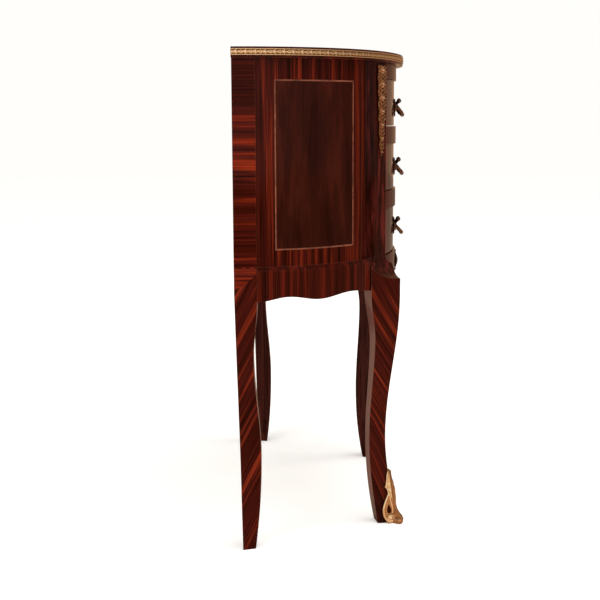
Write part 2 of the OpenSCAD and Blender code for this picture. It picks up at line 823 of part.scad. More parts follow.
// Drawer front i: a bowed board, grooved for the bottom and bored for the pull's bolts
module drawer_front(i) {
    color(VENEER) difference() {
        translate([0, 0, opening_z(i) + front_gap]) linear_extrude(opening_h - 2 * front_gap)
            front_strip_2d(front_in_r, front_out_r, opening_w / 2 - front_gap);
        drawer_bottom_shape(i);
        pull_bolt_shapes(i, bolt_room);
    }
}

module drawer_side(i) {
    z = opening_z(i);
    color(DRAWER_WOOD) difference() {
        translate([0, 0, z + run_gap]) linear_extrude(opening_h - run_gap - 1.5) intersection() {
            translate([-drawer_half_w, -case_d]) square([drawer_side_t, case_d - drawer_back_y]);
            translate([0, front_cy]) circle(front_in_r, $fn = plan_fn);
        }
        drawer_bottom_shape(i);
    }
}

module drawer_back(i) {
    z = opening_z(i) + bottom_groove_z + drawer_bottom_t;
    w = 2 * (drawer_half_w - drawer_side_t);
    color(DRAWER_WOOD) translate([-w / 2, -drawer_back_y - drawer_side_t, z])
        cube([w, drawer_side_t, opening_z(i) + opening_h - 6 - z]);
}

module drawer_bottom_shape(i) {
    w = 2 * (drawer_half_w - drawer_side_t + groove_d);
    translate([0, 0, opening_z(i) + bottom_groove_z]) linear_extrude(drawer_bottom_t) intersection() {
        translate([-w / 2, -case_d]) square([w, case_d - drawer_back_y]);
        translate([0, front_cy]) circle(front_in_r + groove_d, $fn = plan_fn);
    }
}

module drawer_bottom(i) {
    color(DRAWER_WOOD) drawer_bottom_shape(i);
}

// Height of pull i, and the place of its bolts
function pull_z(i) = opening_z(i) + opening_h / 2 - pull_drop[i];
bolt_x = pull_w * 0.38;
pull_face = front_out_r - front_cy;
boss_h = 6.5;
boss_sink = 6;

// Bolts from inside the drawer into the bosses of its pull
module pull_bolt_shapes(i, room) {
    head_y = front_in_r * cos(asin(bolt_x / front_in_r)) - front_cy;
    for (x = [-bolt_x, bolt_x]) translate([x, -head_y, pull_z(i)]) rotate([90, 0, 0]) {
        cylinder(r = bolt_r + room, h = pull_face - head_y + 2.5);
        translate([0, 0, -2]) cylinder(r = 2 * bolt_r, h = 2 + room);
    }
}

module pull_bolts(i) {
    color(STEEL) pull_bolt_shapes(i, 0);
}

// Cast pull i: a scalloped plate that follows the drawer, a crest that curls forward,
// two bosses, and a grip that sweeps down and out between them
grip_lean = 50;
grip_start = 4;
module pull(i) {
    z = pull_z(i);
    sag = (pull_reach - grip_r - grip_start) / cos(grip_lean);
    arc_r = (bolt_x * bolt_x + sag * sag) / (2 * sag);
    arc_half = asin(bolt_x / arc_r);
    color(BRONZE) difference() {
        union() {
            intersection() {
                translate([0, 0, z]) rotate([90, 0, 0]) linear_extrude(2 * case_d) pull_plate_2d();
                linear_extrude(far) front_strip_2d(front_out_r, front_out_r + pull_plate_t, pull_w);
            }
            for (x = [-bolt_x, bolt_x]) translate([x, -pull_face + boss_sink, z]) rotate([90, 0, 0])
                cylinder(r1 = 9, r2 = 5, h = boss_sink + boss_h);
            translate([0, -pull_face - grip_start, z + 2]) rotate([grip_lean, 0, 0])
                translate([0, arc_r - sag, 0]) rotate([0, 0, 270 - arc_half])
                rotate_extrude(angle = 2 * arc_half) translate([arc_r, 0]) circle(grip_r, $fn = 32);
            translate([0, -pull_face, z]) pull_crest();
        }
        translate([0, front_cy, 0]) cylinder(r = front_out_r, h = far, $fn = plan_fn);
        pull_bolt_shapes(i, bolt_room);
    }
}

module pull_plate_2d() {
    r = pull_h / 2;
    union() {
        circle(0.8 * r, $fn = 48);
        for (a = [30:30:150]) rotate(a) translate([0.76 * r, 0]) circle(0.24 * r, $fn = 24);
        translate([0, -0.78 * r]) circle(0.22 * r, $fn = 24);
        for (s = [-1, 1]) {
            translate([s * bolt_x, 0]) circle(pull_w / 2 - bolt_x, $fn = 48);
            translate([s * bolt_x * 0.55, 0]) circle(0.5 * r, $fn = 32);
        }
    }
}

// Leaf that rises from the plate and curls forward into a roll
crest_r = 12.6;
crest_t = 3.2;
CREST_ROLL = [[0, 13.1, 3.8], [-5, 12.3, 3.5], [5, 12.3, 3.5], [-9.4, 10, 3.1], [9.4, 10, 3.1]];
module pull_crest() {
    intersection() {
        translate([0, -14, 2.5]) rotate([90, 0, 90]) union() {
            linear_extrude(30, center = true) difference() {
                circle(crest_r, $fn = 64);
                circle(crest_r - crest_t, $fn = 64);
                translate([-4 * crest_r, -8 * crest_r]) square(8 * crest_r);
                translate([-8 * crest_r, -4 * crest_r]) square(8 * crest_r);
            }
        }
        rotate([90, 0, 0]) union() {
            translate([0, 0, -far / 2]) cylinder(r = 12, h = far);
            for (s = [-1, 1]) translate([s * 8, 9, -far / 2]) cylinder(r = 6, h = far, $fn = 32);
        }
    }
    for (c = CREST_ROLL) translate([c[0], -10, c[1]]) sphere(r = c[2], $fn = 40);
}

module left() {
    seat() children();
}
module right() {
    seat() mirror([1, 0, 0]) children();
}

seat() top_board();
seat() top_band();
seat() back_panel();
seat() bottom_board();
left() rear_leg();  // rear_leg_left
right() rear_leg();  // rear_leg_right
left() front_leg();  // front_leg_left
right() front_leg();  // front_leg_right
left() side_panel();  // side_panel_left
right() side_panel();  // side_panel_right
left() side_string();  // side_string_left
right() side_string();  // side_string_right
left() side_apron();  // side_apron_left
right() side_apron();  // side_apron_right
seat() front_apron();
seat() front_rail(under_top - top_rail_h, top_rail_h);  // top_rail
seat() front_rail(opening_z(2) - rail_h, rail_h);  // upper_rail
seat() front_rail(opening_z(1) - rail_h, rail_h);  // lower_rail
seat() rear_rail_bar(under_top - top_rail_h, top_rail_h);  // rear_top_rail
seat() rear_rail_bar(rear_rail_z, base_z - bottom_t - rear_rail_z);  // rear_bottom_rail
left() cheek();  // cheek_left
right() cheek();  // cheek_right
seat() runners(2);  // upper_runners
seat() runners(1);  // middle_runners
seat() guides(0);  // lower_guides
seat() dust_board(2);  // upper_dust_board
seat() dust_board(1);  // lower_dust_board
seat() top_kickers();
seat() drawer_stops();
seat() glue_blocks();
seat() color(STEEL) top_screw_shapes(0);  // top_screws
seat() color(STEEL) back_screw_shapes(0);  // back_screws
left() chute();  // chute_left
right() chute();  // chute_right
left() sabot();  // sabot_left
right() sabot();  // sabot_right
seat() apron_mount();
seat() drawer_front(2);  // upper_drawer_front
left() drawer_side(2);  // upper_drawer_side_left
right() drawer_side(2);  // upper_drawer_side_right
seat() drawer_back(2);  // upper_drawer_back
seat() drawer_bottom(2);  // upper_drawer_bottom
seat() pull(2);  // upper_pull
seat() pull_bolts(2);  // upper_pull_bolts
seat() drawer_front(1);  // middle_drawer_front
left() drawer_side(1);  // middle_drawer_side_left
right() drawer_side(1);  // middle_drawer_side_right
seat() drawer_back(1);  // middle_drawer_back
seat() drawer_bottom(1);  // middle_drawer_bottom
seat() pull(1);  // middle_pull
seat() pull_bolts(1);  // middle_pull_bolts
seat() drawer_front(0);  // lower_drawer_front
left() drawer_side(0);  // lower_drawer_side_left
right() drawer_side(0);  // lower_drawer_side_right
seat() drawer_back(0);  // lower_drawer_back
seat() drawer_bottom(0);  // lower_drawer_bottom
seat() pull(0);  // lower_pull
seat() pull_bolts(0);  // lower_pull_bolts
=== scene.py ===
"""Dresses the demilune commode: glossy rosewood veneers with gilt and dark brass mounts.

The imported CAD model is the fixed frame. Its wooden pieces keep their own meshes and get
their finishes here, and the cast brass pieces are built anew with their relief.
"""

import logging
from collections.abc import Callable, Iterable, Sequence
from dataclasses import dataclass, field
from enum import Enum
from functools import partial
from math import asin, atan2, cos, exp, floor, hypot, pi, radians, sin, sqrt, tau

import bmesh
import bpy
from mathutils import Matrix, Vector


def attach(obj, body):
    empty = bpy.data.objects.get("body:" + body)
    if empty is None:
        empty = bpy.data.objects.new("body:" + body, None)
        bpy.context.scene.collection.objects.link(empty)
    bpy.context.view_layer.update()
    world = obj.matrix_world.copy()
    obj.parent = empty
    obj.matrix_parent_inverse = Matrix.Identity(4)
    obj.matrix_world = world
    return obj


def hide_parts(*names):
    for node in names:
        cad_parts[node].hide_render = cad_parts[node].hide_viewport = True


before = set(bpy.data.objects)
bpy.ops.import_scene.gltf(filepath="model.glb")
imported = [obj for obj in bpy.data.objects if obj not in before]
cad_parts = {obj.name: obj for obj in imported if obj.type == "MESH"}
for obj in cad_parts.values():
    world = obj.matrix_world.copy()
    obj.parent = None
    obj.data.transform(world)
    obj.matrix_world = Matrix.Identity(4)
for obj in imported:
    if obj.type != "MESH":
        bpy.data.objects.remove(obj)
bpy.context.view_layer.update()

logging.basicConfig(level=logging.INFO, format="%(levelname)s %(message)s")
LOG = logging.getLogger("commode")

MM = 0.001
SIDES = {"left": 1, "right": -1}
DRAWERS = ("upper", "middle", "lower")

Node = bpy.types.Node
Adder = Callable[..., Node]
Material = bpy.types.Material
Mesh = bmesh.types.BMesh
Points = Sequence[tuple[float, ...]]
Place = Callable[[float, float], tuple[Vector, Vector]]
Height = Callable[[float, float], float]


def linear(code: str) -> tuple[float, float, float, float]:
    """Turns an sRGB colour into the linear one that a shader takes.

    Args:
        code: six hex digits, such as "6e1b10".

    Returns:
        Red, green, blue and an alpha of one.
    """
    parts = [int(code[i:i + 2], 16) / 255 for i in (0, 2, 4)]
    red, green, blue = (c / 12.92 if c <= 0.04045 else ((c + 0.055) / 1.055) ** 2.4 for c in parts)
    return red, green, blue, 1.0


def add_node(
    tree: bpy.types.NodeTree,
    kind: str,
    inputs: dict[str | int, object] | Sequence[object] = (),
    stops: Sequence[tuple[float, str]] = (),
    **settings: object,
) -> Node:
    """Adds a shader node with its settings, links and colour stops.

    Args:
        tree: the node tree that gets the node.
        kind: Blender's name of the node type, after "ShaderNode".
        inputs: a value, an output, or a node that stands for its first live output, for
            each input by name or number, or for the first inputs in order.
        stops: position and hex colour of each stop of a colour ramp.
        **settings: properties of the node.

    Returns:
        The new node.
    """
    node = tree.nodes.new("ShaderNode" + kind)
    for name, value in settings.items():
        setattr(node, name, value)
    for key, value in inputs.items() if isinstance(inputs, dict) else enumerate(inputs):
        if isinstance(value, Node):
            value = next(output for output in value.outputs if output.enabled)
        if isinstance(value, bpy.types.NodeSocket):
            tree.links.new(value, node.inputs[key])
        else:
            node.inputs[key].default_value = value
    if stops:
        while len(node.color_ramp.elements) < len(stops):
            node.color_ramp.elements.new(1.0)
        for element, (position, code) in zip(node.color_ramp.elements, stops):
            element.position = position
            element.color = linear(code)
    return node


def new_material(name: str) -> tuple[Material, Adder]:
    """Makes an empty node material.

    Args:
        name: the finish's name.

    Returns:
        The material and what adds a node to it.
    """
    material = bpy.data.materials.new(name)
    material.use_nodes = True
    material.node_tree.nodes.clear()
    return material, partial(add_node, material.node_tree)


def paint(obj: bpy.types.Object, material: Material) -> None:
    """Gives every material slot of an object the same finish.

    Args:
        obj: a mesh object.
        material: the finish.
    """
    if not obj.material_slots:
        obj.data.materials.append(material)
    for place in obj.material_slots:
        place.material = material


class Figure(Enum):
    """Run of a veneer's stripes."""

    UPRIGHT = "upright"
    LEVEL = "level"
    LENGTHWISE = "lengthwise"
    RISING = "rising"
    FALLING_LEFT = "falling_left"
    FALLING_RIGHT = "falling_right"


STRIPE_SLANT = radians(62)
LEG_TURN = radians(11)

# For each run: the axes that cross the stripes, and those that shift the stripes and the grain.
LAY = {
    Figure.UPRIGHT: ((1, 1, 0), (1, 0, 0), (0, 1, 0)),
    Figure.LEVEL: ((0, 0, 1), (0, 0, 1), (1, 0, 0)),
    Figure.LENGTHWISE: ((0, 1, 1), (0, 1, 0), (1, 0, 0)),
}
SLANTED_LAY = ((1, 0, 0), (1, 0, 0), (0, 1, 0))


def slant_axes(figure: Figure) -> tuple[Vector, Vector]:
    """Directions across and along the slanted stripes of a leg.

    On the front legs the stripes meet at the arris, so across is measured along both faces.

    Args:
        figure: a slanted run.

    Returns:
        The direction across the stripes and the one along them.
    """
    fine, steep = cos(STRIPE_SLANT), sin(STRIPE_SLANT)
    if figure is Figure.RISING:
        return Vector((0, steep, fine)), Vector((0, -fine, steep))
    flip = 1 if figure is Figure.FALLING_LEFT else -1
    inward = flip * (cos(LEG_TURN) - sin(LEG_TURN))
    back = cos(LEG_TURN) + sin(LEG_TURN)
    return Vector((-inward * steep, -back * steep, fine)), Vector((inward * fine, back * fine, steep))


@dataclass(frozen=True)
class PolishedFilm:
    """Shellac film over veneer, rubbed up by hand to a gloss.

    The eye gets a soft, slightly wavy mirror at shallow angles, and paler arrises. The
    film's IOR is below shellac's own 1.5, to match how faintly the sides mirror the room.
    It is level to a few hundredths of a millimetre over some 40 mm.
    """

    fullness: float = 0.65
    ior: float = 1.17
    blur: float = 0.07
    arris_mm: float = 0.9
    wave_mm: float = 0.4
    ripple_mm: float = 38.46
    haze_mm: float = 62.5
    rubbed: str = "9a5c40"

    def cover(self, add: Adder, colour: Node) -> None:
        """Lays the film over a veneer's colour and finishes the material.

        Args:
            add: adds a node to the material.
            colour: gives the wood's colour.
        """
        place = add("TexCoord").outputs["Object"]
        ripple = add("TexNoise", {"Vector": place, "Scale": 1000 / self.ripple_mm, "Detail": 1.0})
        edge = add("Bevel", {"Radius": self.arris_mm * MM}, samples=4)
        bump = add("Bump", {
            "Strength": 0.12, "Distance": self.wave_mm * MM, "Height": ripple, "Normal": edge})
        # Arrises are painted paler, partly as wear where cloths and hands have thinned the colour, partly as
        # painted highlight.
        flat = add("NewGeometry").outputs["Normal"]
        turn = add("VectorMath", (edge, flat), operation="DOT_PRODUCT")
        arris_wear_and_highlight = add("MapRange", (turn, 0.97, 0.75, 0.0, 0.55))
        worn_and_highlit = add("Mix", {0: arris_wear_and_highlight, 6: colour, 7: linear(self.rubbed)}, data_type="RGBA")
        # Dust and fine scratches make the wood under the film duller in patches.
        haze = add("TexNoise", {"Vector": place, "Scale": 1000 / self.haze_mm, "Detail": 4.0})
        dulled = add("MapRange", (haze, 0.35, 0.65, 0.42, 0.58))
        shader = add("BsdfPrincipled", {
            "Base Color": worn_and_highlit, "Roughness": dulled, "IOR": 1.5, "Specular IOR Level": 0.0,
            "Coat Weight": self.fullness, "Coat Roughness": self.blur, "Coat IOR": self.ior,
            "Normal": bump, "Coat Normal": bump})
        add("OutputMaterial", {"Surface": shader})


@dataclass(frozen=True)
class RosewoodVeneer:
    """Rosewood or kingwood veneer, sliced, filled and polished to a high gloss.

    The eye gets near-black wood with red-brown stripes of uneven width and fine dark
    pore lines, under a clear, hard film. The pore lines are drawn some five times as
    wide as real ones, which the picture couldn't show.
    """

    name: str
    figure: Figure = Figure.UPRIGHT
    dark: str = "2a0b05"
    middle: str = "390f08"
    bright: str = "561a10"
    stripe_mm: float = 9.0
    grain_mm: float = 1.6
    run_mm: float = 380.0
    grain: float = 0.8
    film: float = 0.65
    seed: float = 0.0

    def colour(self, add: Adder) -> Node:
        """Builds the striped colour.

        Args:
            add: adds a node to the material.

        Returns:
            The node that gives the colour.
        """
        place = add("TexCoord").outputs["Object"]
        if self.figure not in LAY:
            place = add("CombineXYZ", [add("VectorMath", (place, axis), operation="DOT_PRODUCT")
                                       for axis in slant_axes(self.figure)])
        crossing, stripe_shift, grain_shift = LAY.get(self.figure, SLANTED_LAY)
        layers = []
        for width_mm, length_mm, shift, detail, rough in (
            (self.stripe_mm, self.run_mm, stripe_shift, 3.0, 0.62),
            (self.grain_mm, 0.5 * self.run_mm, grain_shift, 2.0, 0.6),
        ):
            at = add("Mapping", {
                "Vector": place, "Scale": [1000 / (width_mm if on else length_mm) for on in crossing],
                "Location": [self.seed * on for on in shift]})
            layers.append(add("TexNoise", {"Vector": at, "Scale": 1.0, "Detail": detail, "Roughness": rough}))
        stripes = add("ValToRGB", layers[:1], stops=(
            (0.38, self.dark), (0.48, self.middle), (0.53, self.middle), (0.63, self.bright)))
        lines = add("ValToRGB", layers[1:], stops=((0.36, "685c58"), (0.5, "e8e4e0"), (0.6, "ffffff")))
        return add("Mix", {0: self.grain, 6: stripes, 7: lines}, data_type="RGBA", blend_type="MULTIPLY")

    def build(self) -> Material:
        """Builds the finish on its own.

        Returns:
            The veneer's material.
        """
        material, add = new_material(self.name)
        PolishedFilm(self.film).cover(add, self.colour(add))
        return material


@dataclass(frozen=True)
class FramedPanel:
    """Side panel: one quiet veneer inside the string line and a striped one round it.

    The border is painted darker towards the front post, as painted shade beside the post.
    Heights and depths are in metres, and say where the string line runs.
    """

    name: str
    border: RosewoodVeneer
    centre: RosewoodVeneer
    low_z: float = 0.488
    high_z: float = 0.750
    front_y: float = -0.0425
    rear_y: float = 0.0810
    # Colour of the painted shade on the border beside the front post.
    heart: str = "1c0502"
    film: float = 0.5

    def build(self) -> Material:
        """Builds the finish.

        Returns:
            The panel's material.
        """
        material, add = new_material(self.name)
        axes = add("SeparateXYZ", {0: add("TexCoord").outputs["Object"]}).outputs
        inside: Node | float = 1.0
        for axis, side, limit in (
            ("Z", "GREATER_THAN", self.low_z), ("Z", "LESS_THAN", self.high_z),
            ("Y", "GREATER_THAN", self.front_y), ("Y", "LESS_THAN", self.rear_y),
        ):
            test = add("Math", (axes[axis], limit), operation=side)
            inside = add("Math", (inside, test), operation="MULTIPLY")
        # Painted shade: the border darkens towards the front post.
        forward = add("MapRange", (axes["Y"], -0.03, -0.06, 0.0, 0.42))
        colour = self.border.colour(add)
        for mask, layer in ((forward, linear(self.heart)), (inside, self.centre.colour(add))):
            colour = add("Mix", {0: mask, 6: colour, 7: layer}, data_type="RGBA")
        PolishedFilm(self.film).cover(add, colour)
        return material


@dataclass(frozen=True)
class PostAndLeg:
    """Post and leg in one piece of wood, with a veneer for each face.

    Two veneers meet at the knee, where the upward-facing faces take the post's veneer as painted
    shade. The inner faces are plainer, and the backs are painted paler as a painted reflection.
    Mops and shoes have darkened the foot.
    """

    name: str
    post: RosewoodVeneer
    leg: RosewoodVeneer
    inner: RosewoodVeneer
    film: float = 0.65
    grime: float = 0.75
    meet_z: float = 0.461
    knee_z: float = 0.405
    grime_z: float = 0.075
    reflection_share: float = 0.55
    painted_reflection: str = "7b5149"
    dirt: str = "1e0604"

    def build(self) -> Material:
        """Builds the finish.

        Returns:
            The material of the post and leg.
        """
        material, add = new_material(self.name)
        axes = add("SeparateXYZ", {0: add("TexCoord").outputs["Object"]}).outputs
        facing = add("SeparateXYZ", {0: add("NewGeometry").outputs["True Normal"]}).outputs
        outward = add("Math", (axes["X"], facing["X"]), operation="MULTIPLY")
        above, near_knee, tilted, inward, behind = (
            add("Math", (value, limit), operation=side) for value, side, limit in (
                (axes["Z"], "GREATER_THAN", self.meet_z), (axes["Z"], "GREATER_THAN", self.knee_z),
                (facing["Z"], "GREATER_THAN", 0.05), (outward, "LESS_THAN", -0.008),
                (facing["Y"], "GREATER_THAN", 0.5)))
        # Painted shade: upward-facing faces near the knee take the post's veneer, darker on the front legs.
        scooped = add("Math", (tilted, near_knee), operation="MULTIPLY")
        within = add("Math", (inward, behind), operation="MAXIMUM")
        # Painted reflection: the backward-facing faces are painted paler.
        pale = add("Math", (behind, self.reflection_share), operation="MULTIPLY")
        upper = add("Math", (above, scooped), operation="MAXIMUM")
        soiled = add("MapRange", (axes["Z"], 0.0, self.grime_z, self.grime, 0.0))
        colour = self.leg.colour(add)
        for mask, layer in (
            (within, self.inner.colour(add)), (pale, linear(self.painted_reflection)),
            (upper, self.post.colour(add)), (soiled, linear(self.dirt)),
        ):
            colour = add("Mix", {0: mask, 6: colour, 7: layer}, data_type="RGBA")
        PolishedFilm(self.film).cover(add, colour)
        return material


@dataclass(frozen=True)
class BareWood:
    """Planed softwood or oak, left bare: pale, matt, with straight grain lines."""

    name: str
    pale: str = "b48d62"
    dark: str = "8d6640"
    ring_mm: float = 4.0
    front_to_back: bool = False
    run_mm: float = 333.3
    pore_mm: float = 0.2

    def build(self) -> Material:
        """Builds the finish.

        Returns:
            The bare wood's material.
        """
        material, add = new_material(self.name)
        across, along = 1000 / self.ring_mm, 1000 / self.run_mm
        scale = (across, along, across) if self.front_to_back else (along, across, across)
        at = add("Mapping", {"Vector": add("TexCoord").outputs["Object"], "Scale": scale})
        rings = add("TexNoise", {"Vector": at, "Scale": 0.6, "Detail": 4.0})
        pores = add("TexNoise", {"Vector": at, "Scale": 2.6, "Detail": 2.0})
        broad = add("ValToRGB", (rings,), stops=((0.32, self.dark), (0.62, self.pale)))
        lines = add("ValToRGB", (pores,), stops=((0.38, "b5a894"), (0.56, "ffffff")))
        colour = add("Mix", {0: 0.6, 6: broad, 7: lines}, data_type="RGBA", blend_type="MULTIPLY")
        bump = add("Bump", {"Strength": 0.25, "Distance": self.pore_mm * MM, "Height": pores})
        matt = add("MapRange", (rings, 0.35, 0.65, 0.78, 0.6))
        shader = add("BsdfPrincipled", {"Base Color": colour, "Roughness": matt, "Normal": bump})
        add("OutputMaterial", {"Surface": shader})
        return material


@dataclass(frozen=True)
class CastBrass:
    """Brass cast in sand, chased, then gilt or darkened.

    High places are rubbed bright and painted lighter as highlight, and hollows hold dirt and
    painted shade. The relief attribute of a piece says how high each place stands. The cast grit
    is drawn a little coarse.
    """

    name: str
    hollow: str
    face: str
    crest: str
    roughness: float
    has_relief: bool = True
    grit_mm: float = 1.4
    pit_mm: float = 0.3
    edge_mm: float = 0.6

    def tone(self, add: Adder, grit: Node) -> Node:
        """Builds the tone, from 0 for dirt and painted shade in a hollow to 1 for wear and painted highlight
        on a crest.

        Args:
            add: adds a node to the material.
            grit: the cast skin's noise.

        Returns:
            The node that gives the tone.
        """
        if not self.has_relief:
            return grit
        lift = add("Attribute", attribute_name="relief").outputs["Fac"]
        mixed = add("Math", (grit, 0.45, lift), operation="MULTIPLY_ADD")
        return add("Math", (mixed, 0.22), operation="SUBTRACT")

    def build(self) -> Material:
        """Builds the finish.

        Returns:
            The metal's material.
        """
        material, add = new_material(self.name)
        grit = add("TexNoise", {"Vector": add("TexCoord").outputs["Object"],
                                "Scale": 1000 / self.grit_mm, "Detail": 3.0, "Roughness": 0.65})
        tone = self.tone(add, grit)
        # Hollows are painted dark as dirt and painted shade, crests bright as wear and painted highlight.
        colour = add("ValToRGB", (tone,), stops=((0.06, self.hollow), (0.42, self.face), (0.8, self.crest)))
        edge = add("Bevel", {"Radius": self.edge_mm * MM}, samples=4)
        bump = add("Bump", {"Strength": 0.5, "Distance": self.pit_mm * MM, "Height": grit, "Normal": edge})
        rubbed = add("MapRange", (tone, 0.1, 0.7, self.roughness + 0.2, self.roughness))
        shader = add("BsdfPrincipled", {
            "Base Color": colour, "Metallic": 1.0, "Roughness": rubbed, "Normal": bump})
        add("OutputMaterial", {"Surface": shader})
        return material


@dataclass(frozen=True)
class TurnedSteel:
    """Turned steel of screws and bolts: bright, with tool marks and dull stains.

    The marks are drawn some ten times as coarse as real ones, so that they show.
    """

    name: str = "turned_steel"
    metal: str = "b9b6b0"
    stained: str = "6f675c"
    mark_mm: float = 1.111
    stain_mm: float = 4.167

    def build(self) -> Material:
        """Builds the finish.

        Returns:
            The steel's material.
        """
        material, add = new_material(self.name)
        place = add("TexCoord").outputs["Object"]
        marks = add("TexNoise", {"Vector": place, "Scale": 1000 / self.mark_mm, "Detail": 2.0})
        stain = add("TexNoise", {"Vector": place, "Scale": 1000 / self.stain_mm, "Detail": 3.0})
        colour = add("ValToRGB", (stain,), stops=((0.34, self.stained), (0.55, self.metal)))
        dulled = add("MapRange", (stain, 0.35, 0.6, 0.5, 0.28))
        bump = add("Bump", {"Strength": 0.2, "Distance": 0.1 * MM, "Height": marks})
        shader = add("BsdfPrincipled", {
            "Base Color": colour, "Metallic": 1.0, "Roughness": dulled, "Normal": bump})
        add("OutputMaterial", {"Surface": shader})
        return material


def new_object(name: str, data: bpy.types.ID) -> bpy.types.Object:
    """Makes an object and links it to the scene.

    Args:
        name: its name.
        data: its mesh, camera or lamp.

    Returns:
        The object.
    """
    obj = bpy.data.objects.new(name, data)
    bpy.context.scene.collection.objects.link(obj)
    return obj


def finish_piece(
    mesh: Mesh,
    name: str,
    body: str,
    material: Material,
    replaced: Sequence[str] = (),
) -> None:
    """Turns a bmesh into a piece of the commode.

    Args:
        mesh: the finished shape, in metres in the row frame.
        name: the piece's name.
        body: the CAD body it moves with.
        material: its finish.
        replaced: the CAD nodes it stands for.
    """
    data = bpy.data.meshes.new(name)
    mesh.to_mesh(data)
    mesh.free()
    data.shade_smooth()
    obj = new_object(name, data)
    paint(obj, material)
    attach(obj, body)
    if replaced:
        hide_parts(*replaced)
    LOG.info("piece %s on %s: %d faces", name, body, len(data.polygons))


def cast_mesh() -> Mesh:
    """Makes an empty mesh whose vertices hold a relief level.

    Returns:
        The bmesh.
    """
    mesh = bmesh.new()
    mesh.verts.layers.float.new("relief")
    return mesh


def relief_sheet(mesh: Mesh, columns: int, rows: int, place: Place, height: Height, wall: float) -> None:
    """Adds a cast sheet with relief on its face and a relief level from 0 to 1.

    Args:
        mesh: the bmesh that gets the sheet.
        columns: faces along u.
        rows: faces along v.
        place: gives a point and its outward normal for u and v from 0 to 1.
        height: gives the relief's height there.
        wall: thickness of the sheet behind the face.
    """
    layer = mesh.verts.layers.float["relief"]
    verts = bmesh.ops.create_grid(mesh, x_segments=columns, y_segments=rows, size=0.5)["verts"]
    spots = [(vert, vert.co.x + 0.5, vert.co.y + 0.5) for vert in verts]
    highs = [height(u, v) for _, u, v in spots]
    top = max(highs)
    for (vert, u, v), high in zip(spots, highs):
        point, normal = place(u, v)
        vert.co = point + normal * high
        vert[layer] = high / top
    faces = list({face for vert in verts for face in vert.link_faces})
    for face in faces:
        face.normal_update()
    mean = sum((face.normal for face in faces), Vector())
    if mean.dot(place(0.5, 0.5)[1]) < 0:
        bmesh.ops.reverse_faces(mesh, faces=faces)
    bmesh.ops.solidify(mesh, geom=faces, thickness=wall)


def settle(mesh: Mesh, verts: Iterable[bmesh.types.BMVert], level: float) -> None:
    """Turns the faces of a closed shape outwards and stores its relief level.

    Args:
        mesh: the bmesh that holds it.
        verts: its vertices.
        level: from 0 for a hollow to 1 for a crest.
    """
    bmesh.ops.recalc_face_normals(mesh, faces=list({face for vert in verts for face in vert.link_faces}))
    layer = mesh.verts.layers.float["relief"]
    for vert in verts:
        vert[layer] = level


def sweep(mesh: Mesh, path: Sequence[Vector], radii: Sequence[float], sides: int) -> None:
    """Adds a round bar along a path, closed at both ends.

    Args:
        mesh: the bmesh that gets the bar.
        path: points of the bar's middle line.
        radii: radius at each point.
        sides: corners of the bar's section.
    """
    last = len(path) - 1
    known = set(mesh.verts)
    before: list[bmesh.types.BMEdge] = []
    for i, (point, radius) in enumerate(zip(path, radii)):
        ahead = path[min(i + 1, last)] - path[max(i - 1, 0)]
        turn = ahead.to_track_quat("Z", "X").to_matrix().to_4x4()
        ring = bmesh.ops.create_circle(mesh, cap_ends=i in (0, last), segments=sides, radius=radius,
                                       matrix=Matrix.Translation(point) @ turn)["verts"]
        held = set(ring)
        edges = list({edge for vert in ring for edge in vert.link_edges if edge.other_vert(vert) in held})
        if before:
            bmesh.ops.bridge_loops(mesh, edges=before + edges)
        before = edges
    settle(mesh, set(mesh.verts) - known, 0.75)


def boss(mesh: Mesh, centre: Vector, axis: Vector, profile: Points) -> None:
    """Adds a turned boss by spinning its profile about an axis.

    Args:
        mesh: the bmesh that gets the boss.
        centre: the foot of the axis.
        axis: its direction, outwards.
        profile: radius and height of each point in millimetres, from the foot round the rim to the top.
    """
    turn = Matrix.Translation(centre) @ axis.to_track_quat("Z", "X").to_matrix().to_4x4()
    known = set(mesh.verts)
    verts = [mesh.verts.new((radius * MM, 0, high * MM)) for radius, high in profile]
    edges = [mesh.edges.new(pair) for pair in zip(verts, verts[1:])]
    bmesh.ops.spin(mesh, geom=verts + edges, cent=(0, 0, 0), axis=(0, 0, 1), dvec=(0, 0, 0),
                   angle=tau, steps=20, use_merge=True, use_duplicate=False)
    made = [vert for vert in mesh.verts if vert not in known]
    bmesh.ops.remove_doubles(mesh, verts=made, dist=0.05 * MM)
    made = [vert for vert in mesh.verts if vert not in known]
    bmesh.ops.transform(mesh, matrix=turn, verts=made)
    settle(mesh, made, 0.7)


def dome(r: float, radius: float) -> float:
    """Height of a unit dome of that radius at distance r from its middle."""
    return sqrt(max(0.0, 1 - (r / radius) ** 2))


def ridge(distance: float, width: float) -> float:
    """Height of a unit ridge of that width at that distance from its crest."""
    return exp(-((distance / width) ** 2))


